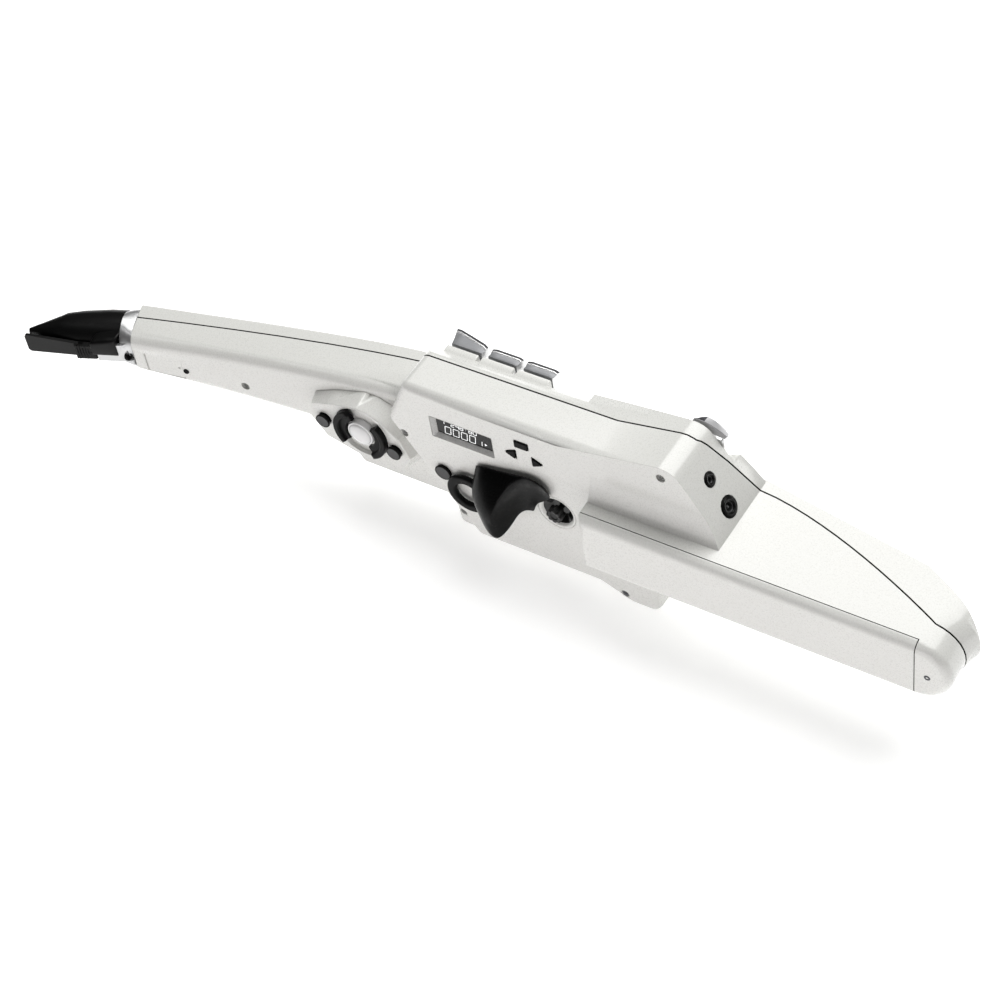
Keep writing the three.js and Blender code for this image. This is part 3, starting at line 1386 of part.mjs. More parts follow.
add("rear_housing", rearHousing(), pearlWhite);
add("front_housing", frontHousing(), pearlWhite);
add("battery_lid", lidForm(), pearlWhite);
add("battery_tray", batteryTray(), mattBlack);
for (let row = 0; row < cellRows; row += 1) {
  for (const side of [-1, 1]) {
    const cell = add(`battery_cell_${row * 2 + (side + 3) / 2}`, batteryCell(), cellGrey);
    cell.rotation.z = -Math.PI / 2;
    cell.position.set(cellStart + (cellLength + cellTipLength + gap) * row, cellCentreY, side * (cellRadius + gap / 2));
  }
}
add("neck_ring", neckRing(), silver);
add("mouthpiece_body", mouthpieceBody(), mattBlack);
add("mouthpiece_clamp", mouthpieceClamp(), mattBlack);
add("bite_reed", reedForm(), mattBlack);
add("breath_tube", breathTube(), softGrey);
add("breath_sensor", breathSensor(), softGrey);
add("neck_door", neckDoor(), pearlWhite);
add("thumb_plate", thumbPlate(), pearlWhite);
add("thumb_rest", thumbRest(), pearlWhite);
add("octave_down_key", arcKey(Math.PI * 0.93), mattBlack);
add("octave_up_key", arcKey(-Math.PI * 0.07), mattBlack);
thumbButtonPlaces().forEach((place, k) => add(`thumb_button_${k + 1}`, thumbButton(place), mattBlack));
add("display_window", displayWindow(), glossBlack);
add("display_module", displayModule(), softGrey);
for (const [name, corners] of Object.entries(rearButtons)) add(name, rearButton(corners), mattBlack);
add("power_button", powerButton(), mattBlack);
add("thumb_hook", thumbHook(), mattBlack);
add("strap_ring", strapRing(), mattBlack);
add("volume_dish", volumeDish(), mattBlack);
add("volume_knob", volumeKnob(), mattBlack);
add("volume_pot", volumePot(), steel);
add("phones_socket", onFace(socket(phonesRadius, phonesBore), phonesUp), mattBlack);
add("power_inlet", onFace(socket(powerInletRadius, powerInletBore), powerInletUp), mattBlack);
add("main_board", mainBoard(), boardGreen);
add("key_board", keyBoard(), boardGreen);
add("speaker", speaker(), mattBlack);
for (const key of pearlKeys()) add(key.name, pearlKey(key), silver);
for (const key of padKeys()) add(key.name, padKey(key), silver);
for (const key of sideKeys()) add(key.name, sideKey(key), silver);
add("e_flat_key", cornerKey(), silver);

// The origin is at the middle of the lowest side.
const bounds = new THREE.Box3().setFromObject(instrument, true);
const middle = bounds.getCenter(new THREE.Vector3());
instrument.position.set(-middle.x, -middle.y, -bounds.min.z);
instrument.updateMatrixWorld(true);

const model = new THREE.Group();
model.add(instrument);

export default model;
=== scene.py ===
"""Digital wind controller: finishes, detailed pieces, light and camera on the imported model.

The instrument lies on its left side on a pale floor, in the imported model's own frame: +X runs from the mouthpiece
to the bell, +Y to the finger keys and +Z to the player's right. Lengths are metres, apart from profiles, sections
and tables of points, which are in millimetres.
"""

import json
import logging
import math
from dataclasses import dataclass, field
from enum import Enum, IntEnum

import bmesh
import bpy
from mathutils import Matrix, Vector
from mathutils.bvhtree import BVHTree

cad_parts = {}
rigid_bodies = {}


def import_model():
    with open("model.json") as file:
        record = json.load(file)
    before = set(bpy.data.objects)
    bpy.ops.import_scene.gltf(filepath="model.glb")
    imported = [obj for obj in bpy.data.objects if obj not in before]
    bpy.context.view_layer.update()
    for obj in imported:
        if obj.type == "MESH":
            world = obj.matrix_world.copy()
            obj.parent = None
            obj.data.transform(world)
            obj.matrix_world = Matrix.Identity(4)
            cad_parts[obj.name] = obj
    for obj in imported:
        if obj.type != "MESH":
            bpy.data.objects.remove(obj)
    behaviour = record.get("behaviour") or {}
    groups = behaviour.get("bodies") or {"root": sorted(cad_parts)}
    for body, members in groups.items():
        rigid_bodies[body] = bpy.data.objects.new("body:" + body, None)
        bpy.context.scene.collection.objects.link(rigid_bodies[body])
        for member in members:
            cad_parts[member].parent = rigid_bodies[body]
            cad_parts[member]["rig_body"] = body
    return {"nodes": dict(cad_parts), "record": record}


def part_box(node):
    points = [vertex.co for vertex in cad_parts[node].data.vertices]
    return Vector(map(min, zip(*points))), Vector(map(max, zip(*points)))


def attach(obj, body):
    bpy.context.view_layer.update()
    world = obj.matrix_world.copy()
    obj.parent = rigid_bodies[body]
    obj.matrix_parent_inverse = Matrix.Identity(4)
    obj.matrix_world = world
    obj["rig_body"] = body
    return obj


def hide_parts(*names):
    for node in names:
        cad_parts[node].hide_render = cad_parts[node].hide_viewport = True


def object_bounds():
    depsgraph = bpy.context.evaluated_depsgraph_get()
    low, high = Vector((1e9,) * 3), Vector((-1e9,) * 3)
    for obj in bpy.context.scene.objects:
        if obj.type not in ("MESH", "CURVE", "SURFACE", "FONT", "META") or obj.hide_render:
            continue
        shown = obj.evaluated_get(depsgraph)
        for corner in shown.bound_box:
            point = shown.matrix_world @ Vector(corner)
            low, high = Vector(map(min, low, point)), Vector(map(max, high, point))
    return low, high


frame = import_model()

LOG = logging.getLogger("wind_controller")
CAD_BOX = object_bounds()
MM = 0.001
MERGE_REACH = 2e-6
RIDGE_HEIGHT = 17.2 * MM
X_AXIS = Vector((1, 0, 0))
Y_AXIS = Vector((0, 1, 0))

Colour = tuple[float, float, float, float]
Point = tuple[float, float, float]
Profile = list[tuple[float, float]]
Form = bmesh.types.BMesh
Vert = bmesh.types.BMVert
Face = bmesh.types.BMFace


def millimetres(x: float, y: float, z: float) -> Vector:
    """Return a point or a direction given in millimetres, in metres."""
    return Vector((x, y, z)) * MM


def linear(step: int) -> float:
    """Return a display channel, given in steps of 255, in linear light."""
    share = step / 255
    return share / 12.92 if share <= 0.04045 else ((share + 0.055) / 1.055) ** 2.4


def tone(red: int, green: int, blue: int) -> Colour:
    """Return a display colour, given in steps of 255, as the linear colour that shaders take."""
    return linear(red), linear(green), linear(blue), 1.0


def grey(step: int) -> Colour:
    """Return a plain grey, given in steps of 255, as the linear colour that shaders take."""
    return tone(step, step, step)


def origin() -> Vector:
    """Return the frame's anchor: the lid's right seam, at the centre block's rear panel and the ridge's middle."""
    low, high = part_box("battery_lid")
    return Vector((high.x, low.y + RIDGE_HEIGHT, (low.z + high.z) / 2))


ORIGIN = origin()


def centre_of(node: str) -> Vector:
    """Return the middle of a node's box seen along Y, at Y 0."""
    low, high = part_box(node)
    return Vector(((low.x + high.x) / 2, 0, (low.z + high.z) / 2))


class Wire:
    """A shader socket that arithmetic turns into Math nodes."""

    def __init__(self, graph: "Graph", socket: bpy.types.NodeSocket) -> None:
        """Keep the graph and the output socket."""
        self.graph = graph
        self.socket = socket

    def _math(self, operation: str, first: "Wire | float", second: "Wire | float") -> "Wire":
        """Return the Math node's result for two operands."""
        return self.graph.node("ShaderNodeMath", {"operation": operation}, {0: first, 1: second})

    def __add__(self, other: "Wire | float") -> "Wire":
        """Return the sum."""
        return self._math("ADD", self, other)

    def __radd__(self, other: float) -> "Wire":
        """Return the sum."""
        return self._math("ADD", other, self)

    def __sub__(self, other: "Wire | float") -> "Wire":
        """Return the difference."""
        return self._math("SUBTRACT", self, other)

    def __rsub__(self, other: float) -> "Wire":
        """Return the difference, with this wire taken away."""
        return self._math("SUBTRACT", other, self)

    def __mul__(self, other: "Wire | float") -> "Wire":
        """Return the product."""
        return self._math("MULTIPLY", self, other)

    def __truediv__(self, other: "Wire | float") -> "Wire":
        """Return the quotient."""
        return self._math("DIVIDE", self, other)

    def __pow__(self, other: float) -> "Wire":
        """Return this wire raised to a power."""
        return self._math("POWER", self, other)

    def __gt__(self, other: "Wire | float") -> "Wire":
        """Return 1 where this wire is greater, else 0."""
        return self._math("GREATER_THAN", self, other)

    def __lt__(self, other: "Wire | float") -> "Wire":
        """Return 1 where this wire is smaller, else 0."""
        return self._math("LESS_THAN", self, other)

    def fraction(self) -> "Wire":
        """Return what is left after the whole number."""
        return self._math("FRACT", self, 0.0)


class Graph:
    """The nodes of one material, ended by a Principled shader."""

    def __init__(self, name: str) -> None:
        """Make an empty material with its shader and its output.

        Args:
            name: The material's name.
        """
        self.material = bpy.data.materials.new(name)
        self.material.use_nodes = True
        self.tree = self.material.node_tree
        self.tree.nodes.clear()
        self.shader = self.tree.nodes.new("ShaderNodeBsdfPrincipled")
        output = self.tree.nodes.new("ShaderNodeOutputMaterial")
        self.tree.links.new(self.shader.outputs[0], output.inputs["Surface"])

    def node(
        self, kind: str, settings: dict | None = None, sockets: dict | None = None, take: int | str = 0,
    ) -> Wire:
        """Add a node and return one of its outputs.

        Args:
            kind: The node's type.
            settings: Its properties, set first; "stops" holds a ramp's places and colours.
            sockets: Values or wires for its inputs, by name or number.
            take: The output to return, by name or number.

        Returns:
            A wire on the chosen output.
        """
        made = self.tree.nodes.new(kind)
        for key, value in (settings or {}).items():
            if key == "stops":
                ramp = made.color_ramp
                while len(ramp.elements) < len(value):
                    ramp.elements.new(0.5)
                for element, (place, colour) in zip(ramp.elements, value):
                    element.position = place
                    element.color = colour
            else:
                setattr(made, key, value)
        for key, value in (sockets or {}).items():
            if isinstance(value, Wire):
                self.tree.links.new(value.socket, made.inputs[key])
            else:
                made.inputs[key].default_value = value
        return Wire(self, made.outputs[take])

    def place(self) -> Wire:
        """Return the object coordinates."""
        return self.node("ShaderNodeTexCoord", take="Object")

    def noise(self, length: float, detail: float = 2.0, stretch: tuple[float, float, float] = (1, 1, 1)) -> Wire:
        """Return noise from 0 to 1, by its patches' length in metres, its octaves and a factor along each axis."""
        placed = self.node("ShaderNodeMapping", None, {"Vector": self.place(), "Scale": stretch})
        return self.node("ShaderNodeTexNoise", None, {"Vector": placed, "Scale": 1 / length, "Detail": detail})

    def mix(self, factor: Wire | float, first: Wire | tuple, second: Wire | tuple) -> Wire:
        """Return the colour between two, where the factor is the share of the second."""
        return self.node("ShaderNodeMix", {"data_type": "RGBA"}, {0: factor, 6: first, 7: second}, take=2)

    def ramp(self, value: Wire, stops: list[tuple[float, tuple]]) -> Wire:
        """Return the colour that a ramp gives for a value."""
        return self.node("ShaderNodeValToRGB", {"stops": stops}, {0: value})

    def bevel(self, radius: float, samples: int = 6) -> Wire:
        """Return normals that round every edge by a radius."""
        return self.node("ShaderNodeBevel", {"samples": samples}, {"Radius": radius})

    def bump(self, height: Wire, distance: float, normal: Wire | None = None) -> Wire:
        """Return normals disturbed by a height.

        Args:
            height: The height, from 0 to 1.
            distance: What a height of 1 stands for, in metres.
            normal: The normals underneath, if not the surface's own.

        Returns:
            The normals.
        """
        sockets = {"Height": height, "Distance": distance, "Strength": 1.0}
        if normal is not None:
            sockets["Normal"] = normal
        return self.node("ShaderNodeBump", None, sockets)

    def set(self, **sockets: "Wire | float | tuple") -> None:
        """Set or link the shader's sockets.

        Args:
            sockets: Values or wires by socket, with underscores for the spaces in the sockets' names.
        """
        for key, value in sockets.items():
            socket = self.shader.inputs[key.replace("_", " ")]
            if isinstance(value, Wire):
                self.tree.links.new(value.socket, socket)
            else:
                socket.default_value = value


@dataclass(frozen=True)
class Finish:
    """A moulded finish: a colour with slight mottling, fine grain and soft edges."""

    name: str
    colour: Colour
    shade: Colour
    roughness: float = 0.4
    grain: float = 0.35 * MM
    depth: float = 0.012 * MM
    edge: float = 0.35 * MM
    coat: float = 0.0
    coat_roughness: float = 0.12
    metallic: float = 0.0
    specular: float = 0.5
    patch_ratio: float = 60.0
    fine_share: float = 0.5
    swing: float = 0.12
    patch_swing: float = 0.08

    def build(self) -> bpy.types.Material:
        """Make the material, unless it is there already.

        Returns:
            The material.
        """
        made = bpy.data.materials.get(self.name)
        if made is not None:
            return made
        graph = Graph(self.name)
        graph.set(Specular_IOR_Level=self.specular, Coat_Roughness=self.coat_roughness)
        self.dress(graph)
        return graph.material

    def dress(self, graph: Graph) -> None:
        """Mix fine grain and broad patches.

        Args:
            graph: The material's nodes.
        """
        fine = graph.noise(self.grain, detail=3)
        broad = graph.noise(self.grain * self.patch_ratio)
        mottling = fine * self.fine_share + broad * (1 - self.fine_share)
        graph.set(
            Base_Color=graph.mix(mottling, self.colour, self.shade),
            Roughness=self.roughness + (fine - 0.5) * self.swing + (broad - 0.5) * self.patch_swing,
            Metallic=self.metallic,
            Coat_Weight=self.coat,
            Normal=graph.bump(fine, self.depth, graph.bevel(self.edge)),
        )


@dataclass(frozen=True)
class PearlPaint(Finish):
    """White paint with fine bright and dark flakes in it."""

    flake: Colour = (0.95, 0.95, 0.97, 1.0)
    dark_flake: Colour = (0.42, 0.42, 0.43, 1.0)
    flake_size: float = 0.42 * MM
    patch: float = 40 * MM
    bright_share: float = 0.14
    bright_power: float = 4.0
    dark_share: float = 0.07
    dark_power: float = 5.0
    swing: float = 0.08

    def dress(self, graph: Graph) -> None:
        """Scatter bright and dark flakes over a base with broad patches.

        Args:
            graph: The material's nodes.
        """
        cells = graph.node(
            "ShaderNodeTexVoronoi", None, {"Vector": graph.place(), "Scale": 1 / self.flake_size}, take="Color",
        )
        level = graph.node("ShaderNodeSeparateColor", None, {"Color": cells})
        base = graph.mix(graph.noise(self.patch), self.colour, self.shade)
        bright = graph.mix((level ** self.bright_power) * self.bright_share, base, self.flake)
        graph.set(
            Base_Color=graph.mix(((1 - level) ** self.dark_power) * self.dark_share, bright, self.dark_flake),
            Roughness=self.roughness + (level - 0.5) * self.swing,
            Metallic=self.metallic,
            Coat_Weight=self.coat,
            Normal=graph.bump(graph.noise(self.grain), self.depth, graph.bevel(self.edge)),
        )


@dataclass(frozen=True)
class BrushedMetal(Finish):
    """Metal brushed along one axis."""

    along: Point = (0.04, 1.0, 1.0)
    streak: float = 0.18 * MM
    cloud: float = 9 * MM
    streak_share: float = 0.7
    swing: float = 0.16

    def dress(self, graph: Graph) -> None:
        """Mix brushed streaks and soft clouds.

        Args:
            graph: The material's nodes.
        """
        streaks = graph.noise(self.streak, stretch=self.along)
        clouds = graph.noise(self.cloud)
        brushing = streaks * self.streak_share + clouds * (1 - self.streak_share)
        graph.set(
            Base_Color=graph.mix(brushing, self.colour, self.shade),
            Roughness=self.roughness + (streaks - 0.5) * self.swing,
            Metallic=self.metallic,
            Coat_Weight=self.coat,
            Normal=graph.bump(streaks, self.depth, graph.bevel(self.edge)),
        )


@dataclass(frozen=True)
class MotherOfPearl(Finish):
    """A key's pearl touch: pale bands that turn pink and green, from the colour to the shade."""

    mint: Colour = tone(226, 234, 228)
    rose: Colour = tone(240, 228, 232)
    band: float = 3 * MM
    swing: float = 0.1

    def dress(self, graph: Graph) -> None:
        """Lay the bands.

        Args:
            graph: The material's nodes.
        """
        bands = graph.noise(self.band, detail=4)
        tints = [(0.25, self.colour), (0.45, self.mint), (0.6, self.rose), (0.8, self.shade)]
        graph.set(
            Base_Color=graph.ramp(bands, tints),
            Roughness=self.roughness + (bands - 0.5) * self.swing,
            Coat_Weight=self.coat,
            Normal=graph.bump(bands, self.depth, graph.bevel(self.edge)),
        )


@dataclass(frozen=True)
class CircuitBoard(Finish):
    """A lacquered board with a weave of paler tracks."""

    track_pitch: float = 1.9 * MM
    track_share: float = 0.3
    break_pitch: float = 2.3 * MM
    break_share: float = 0.4
    cluster: float = 9 * MM
    track_weight: float = 0.6
    swing: float = 0.1

    def dress(self, graph: Graph) -> None:
        """Lay tracks along the board and break them in clusters.

        Args:
            graph: The material's nodes.
        """
        along = graph.node("ShaderNodeSeparateXYZ", None, {"Vector": graph.place()}, take="X")
        across = graph.node("ShaderNodeSeparateXYZ", None, {"Vector": graph.place()}, take="Z")
        tracks = (along / self.track_pitch).fraction() < self.track_share
        clusters = graph.noise(self.cluster, detail=1) > 0.5
        breaks = clusters * ((across / self.break_pitch).fraction() < self.break_share)
        graph.set(
            Base_Color=graph.mix(
                tracks * self.track_weight + breaks * (1 - self.track_weight), self.colour, self.shade,
            ),
            Roughness=self.roughness + (tracks - 0.5) * self.swing,
            Coat_Weight=self.coat,
            Normal=graph.bump(tracks, self.depth, graph.bevel(self.edge)),
        )


@dataclass(frozen=True)
class LitSegment(Finish):
    """The display's lit segments."""

    glow: float = 0.55

    def dress(self, graph: Graph) -> None:
        """Let the segments glow evenly.

        Args:
            graph: The material's nodes.
        """
        fine = graph.noise(self.grain)
        graph.set(
            Base_Color=graph.mix(fine, self.colour, self.shade),
            Emission_Color=graph.mix(fine, self.colour, self.shade),
            Emission_Strength=self.glow,
            Roughness=self.roughness,
        )


SHELL = PearlPaint(
    "shell_paint", tone(219, 219, 215), tone(216, 216, 212), roughness=0.3, grain=0.5 * MM, depth=0.003 * MM,
    edge=0.3 * MM, coat=0.5,
)
# Painted shade: the shell's white paint made grey for the display's sunk bezel, where shade falls.
BEZEL_PAINTED_SHADE = PearlPaint(
    "bezel_paint", tone(178, 178, 176), tone(172, 172, 170), roughness=0.3, grain=0.5 * MM, depth=0.003 * MM,
    edge=0.2 * MM, coat=0.5,
)
REST_WHITE = Finish(
    "rest_white", grey(226), grey(222), roughness=0.22, grain=0.6 * MM, depth=0.002 * MM, edge=0.3 * MM, coat=0.6,
)

BLACK = Finish(
    "satin_black", grey(7), grey(5), roughness=0.42, grain=0.25 * MM, depth=0.006 * MM, edge=0.3 * MM, specular=0.1,
)
MOUTH_BLACK = Finish(
    "mouthpiece_black", grey(8), grey(6), roughness=0.36, grain=0.5 * MM, depth=0.004 * MM, specular=0.18,
)
GLOSS_BLACK = Finish(
    "gloss_black", grey(9), grey(6), roughness=0.2, grain=0.6 * MM, depth=0.002 * MM, specular=0.35,
)
HOOK_BLACK = Finish(
    "hook_black", grey(4), grey(3), roughness=0.28, grain=0.3 * MM, depth=0.003 * MM, edge=0.2 * MM, specular=0.14,
)
DIAL_BLACK = Finish(
    "dial_black", grey(8), grey(5), roughness=0.16, grain=0.6 * MM, depth=0.001 * MM, edge=0.2 * MM,
)
GRIP_BLACK = Finish(
    "grip_black", grey(20), grey(14), roughness=0.45, grain=0.2 * MM, depth=0.006 * MM, edge=0.15 * MM,
)
# Painted shade: near-black for the faces and bevelled rims in the narrow gaps between the shells and the lid, where
# shade falls.
SEAM_SHADE = Finish("seam_shadow", tone(18, 18, 17), grey(12), roughness=0.8, specular=0.1)
GLASS = Finish(
    "display_glass", grey(7), grey(4), roughness=0.16, grain=2 * MM, depth=0.001 * MM, edge=0.2 * MM, specular=0.25,
)
LIT = LitSegment("lit_segment", tone(240, 242, 242), tone(228, 230, 230), roughness=0.5)

GREY = Finish("grey_plastic", tone(96, 98, 102), tone(84, 86, 90), roughness=0.55)
BUTTON_FACE = Finish(
    "button_face", tone(58, 58, 59), tone(50, 50, 51), roughness=0.5, grain=0.2 * MM, depth=0.004 * MM,
    edge=0.15 * MM,
)
WELL_GREY = Finish(
    "well_grey", tone(136, 136, 134), tone(120, 120, 118), roughness=0.6, grain=0.3 * MM, depth=0.004 * MM,
    edge=0.1 * MM,
)
SLEEVE = Finish(
    "cell_sleeve", tone(120, 124, 130), tone(96, 100, 106), roughness=0.3, grain=0.8 * MM, depth=0.002 * MM,
    edge=0.2 * MM, coat=0.3,
)
BOARD = CircuitBoard("board_green", tone(30, 84, 52), tone(44, 112, 66), roughness=0.45, depth=0.03 * MM)
PEARL = MotherOfPearl(
    "pearl_touch", tone(236, 232, 226), tone(246, 244, 240), roughness=0.18, depth=0.01 * MM, coat=0.6,
)

SILVER = BrushedMetal(
    "brushed_silver", grey(216), tone(186, 187, 188), roughness=0.32, depth=0.003 * MM, metallic=0.85,
)
STEEL = BrushedMetal(
    "bright_steel", tone(190, 191, 193), tone(160, 162, 164), roughness=0.24, depth=0.002 * MM, metallic=1.0,
)
SCREW_GREY = BrushedMetal(
    "screw_grey", tone(120, 121, 122), tone(84, 85, 86), roughness=0.42, depth=0.003 * MM, metallic=0.7,
)
FACE_SILVER = BrushedMetal(
    "face_silver", tone(150, 151, 153), tone(112, 113, 116), roughness=0.36, depth=0.004 * MM, metallic=0.35,
)
# Painted highlight: near-white silver laid on the keys' rounded upper edges and the side keys' ends, where the light
# glints.
PAINTED_HIGHLIGHT_SILVER = BrushedMetal(
    "edge_silver", grey(246), tone(232, 232, 233), roughness=0.25, depth=0.002 * MM, metallic=0.5,
)
CORNER_SILVER = BrushedMetal(
    "corner_silver", tone(196, 196, 197), tone(160, 160, 162), roughness=0.34, depth=0.004 * MM, metallic=0.3,
)
# Painted shade: dark silver laid on the side keys' chamfers and on the E flat key's end and first stations, where
# shade falls.
PAINTED_SHADE_SILVER = BrushedMetal(
    "dark_silver", tone(70, 70, 73), tone(52, 52, 55), roughness=0.38, depth=0.003 * MM, metallic=0.5,
)

FINISHES = {
    "shell_white": SHELL,
    "matt_black": BLACK,
    "mouth_black": MOUTH_BLACK,
    "key_silver": SILVER,
    "display_black": GLASS,
    "board_green": BOARD,
    "cell_sleeve": SLEEVE,
    "steel": STEEL,
    "grey_part": GREY,
}


@dataclass
class PhotoCamera:
    """The camera at the photograph's viewing angle, tied to the lid's right seam."""

    eye: Vector = field(default_factory=lambda: millimetres(289.3, -648.5, 905.9))
    azimuth: float = math.radians(39.27)
    elevation: float = math.radians(47.66)
    roll: float = math.radians(-10.39)
    lens: float = 86.4
    sensor: float = 36.0
    clip_start: float = 0.01

    def build(self) -> None:
        """Make the camera and make it the scene's own."""
        turn, rise = self.azimuth, self.elevation
        back = Vector((math.sin(turn) * math.cos(rise), -math.cos(turn) * math.cos(rise), math.sin(rise)))
        level = Vector((math.cos(turn), math.sin(turn), 0.0))
        upright = back.cross(level)
        right = level * math.cos(self.roll) + upright * math.sin(self.roll)
        up = upright * math.cos(self.roll) - level * math.sin(self.roll)
        data = bpy.data.cameras.new("photo_camera")
        data.lens = self.lens
        data.sensor_width = self.sensor
        data.clip_start = self.clip_start
        camera = bpy.data.objects.new("photo_camera", data)
        camera.matrix_world = Matrix.Translation(ORIGIN + self.eye) @ Matrix((right, up, back)).transposed().to_4x4()
        bpy.context.scene.collection.objects.link(camera)
        bpy.context.scene.camera = camera


@dataclass(frozen=True)
class SoftLight:
    """A soft light out of the picture that faces the instrument's middle. Its size is length by height."""

    name: str
    place: Point
    size: tuple[float, float]
    power: float
    colour: Point
    mirrored: bool = True
    target: Point = (0.0, 0.0, 0.05)

    def build(self) -> None:
        """Make the light."""
        data = bpy.data.lights.new(self.name, "AREA")
        data.shape = "RECTANGLE"
        data.size, data.size_y = self.size
        data.energy = self.power
        data.color = self.colour
        lamp = bpy.data.objects.new(self.name, data)
        lamp.location = self.place
        aim = Vector(self.target) - Vector(self.place)
        lamp.rotation_euler = aim.to_track_quat("-Z", "Y").to_euler()
        lamp.visible_camera = False
        lamp.visible_glossy = self.mirrored
        bpy.context.scene.collection.objects.link(lamp)


@dataclass
class Studio:
    """A pale floor, a white surround and soft lights."""

    floor_size: float = 8.0
    floor_gap: float = 0.02 * MM
    floor_colour: Colour = grey(250)
    floor_shade: Colour = grey(247)
    floor_patch: float = 0.4
    floor_roughness: float = 0.75
    floor_glow: float = 0.5
    surround: float = 0.06
    lights: tuple[SoftLight, ...] = (
        SoftLight("top_light", (0.15, 1.0, 1.85), (2.6, 2.0), 64.0, (1.0, 1.0, 0.99)),
        SoftLight("front_light", (0.35, -1.3, 0.2), (0.8, 0.4), 2.6, (1.0, 0.96, 0.97)),
        SoftLight("roll_light", (-0.3, -0.5, 1.15), (1.6, 0.05), 1.5, (1.0, 1.0, 1.0)),
        SoftLight("low_light", (0.0, -0.24, 0.012), (0.85, 0.03), 0.22, (1.0, 0.955, 0.965), mirrored=False),
    )

    def build(self) -> None:
        """Make the floor, the surround and the lights."""
        self.floor()
        self.surroundings()
        bpy.context.scene.view_settings.view_transform = "Standard"
        for light in self.lights:
            light.build()

    def floor(self) -> None:
        """Make the floor just below the instrument."""
        form = bmesh.new()
        bmesh.ops.create_grid(form, x_segments=2, y_segments=2, size=self.floor_size / 2)
        mesh = bpy.data.meshes.new("studio_floor")
        form.to_mesh(mesh)
        form.free()
        floor = bpy.data.objects.new("studio_floor", mesh)
        floor.location.z = CAD_BOX[0][2] - self.floor_gap
        bpy.context.scene.collection.objects.link(floor)
        graph = Graph("pale_floor")
        pale = graph.mix(graph.noise(self.floor_patch), self.floor_colour, self.floor_shade)
        graph.set(
            Base_Color=pale, Roughness=self.floor_roughness, Emission_Color=pale, Emission_Strength=self.floor_glow,
        )
        mesh.materials.append(graph.material)

    def surroundings(self) -> None:
        """Make the surround: soft light on the instrument, plain white to the eye."""
        world = bpy.data.worlds.new("white_surround")
        world.use_nodes = True
        tree = world.node_tree
        tree.nodes.clear()
        shades = []
        for strength in (self.surround, 1.0):
            shade = tree.nodes.new("ShaderNodeBackground")
            shade.inputs["Color"].default_value = (1.0, 1.0, 1.0, 1.0)
            shade.inputs["Strength"].default_value = strength
            shades.append(shade)
        mixed = tree.nodes.new("ShaderNodeMixShader")
        path = tree.nodes.new("ShaderNodeLightPath")
        output = tree.nodes.new("ShaderNodeOutputWorld")
        tree.links.new(path.outputs["Is Camera Ray"], mixed.inputs[0])
        tree.links.new(shades[0].outputs[0], mixed.inputs[1])
        tree.links.new(shades[1].outputs[0], mixed.inputs[2])
        tree.links.new(mixed.outputs[0], output.inputs["Surface"])
        bpy.context.scene.world = world


SEAM_NEIGHBOURS = ("rear_housing", "front_housing", "battery_lid", "battery_tray")


def cad_skin(node: str) -> BVHTree:
    """Return a CAD node's faces as a tree that answers rays."""
    mesh = frame["nodes"][node].data
    return BVHTree.FromPolygons([v.co for v in mesh.vertices], [tuple(face.vertices) for face in mesh.polygons])


CAD_SKINS = {node: cad_skin(node) for node in SEAM_NEIGHBOURS}


class Edges(Enum):
    """How a piece is shaded over its edges, by the angle up to which they are smooth."""

    SOFT = 40.0
    CRISP = 26.0
    ROUND = 62.0


class Tint(IntEnum):
    """The material slot of a face on a piece with several finishes."""

    MAIN = 0
    SECOND = 1
    THIRD = 2


@dataclass(frozen=True)
class Piece:
    """A visible piece, with its finishes in the order of its material slots and the CAD node that it rides with.

    It stands for that node, unless it only adds to it.
    """

    name: str
    finishes: tuple[Finish, ...]
    slot: str
    node: str
    edges: Edges = Edges.SOFT
    levels: int = 0
    adds: bool = False

    def make(self, form: Form) -> bpy.types.Object:
        """Make the piece from a form.

        Args:
            form: The form, in the frame, in metres. It is used up.

        Returns:
            The piece's object.
        """
        bmesh.ops.recalc_face_normals(form, faces=form.faces)
        mesh = bpy.data.meshes.new(self.name)
        form.to_mesh(mesh)
        form.free()
        mesh.shade_smooth()
        mesh.set_sharp_from_angle(angle=math.radians(self.edges.value))
        for finish in self.finishes:
            mesh.materials.append(finish.build())
        made = bpy.data.objects.new(self.name, mesh)
        bpy.context.scene.collection.objects.link(made)
        if self.levels:
            smooth = made.modifiers.new("smooth_form", "SUBSURF")
            smooth.levels = self.levels
            smooth.render_levels = self.levels
        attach(made, frame["nodes"][self.node]["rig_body"])
        if not self.adds:
            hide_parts(self.node)
        LOG.info("%s: %d faces", self.name, len(mesh.polygons))
        return made


def loft(form: Form, rows: list[list[Vector]], closed: bool = False) -> list[list[Vert]]:
    """Add a skin of four-sided faces over rows of points.

    Args:
        form: The form to add to.
        rows: Rows of points, all of one length.
        closed: Whether each row is a ring.

    Returns:
        The rows' vertices.
    """
    grid = [[form.verts.new(point) for point in row] for row in rows]
    for first, second in zip(grid, grid[1:]):
        count = len(first)
        for k in range(count if closed else count - 1):
            n = (k + 1) % count
            form.faces.new((first[k], first[n], second[n], second[k]))
    return grid


def capped(rows: list[list[Vector]], form: Form | None = None) -> Form:
    """Make a closed body: a skin over rings of points, then a face over the first ring and one over the last.

    Args:
        rows: The rings, all of one length.
        form: The form to add to, if not a new one.

    Returns:
        The form.
    """
    if form is None:
        form = bmesh.new()
    grid = loft(form, rows, closed=True)
    form.faces.new(grid[0])
    form.faces.new(grid[-1])
    return form


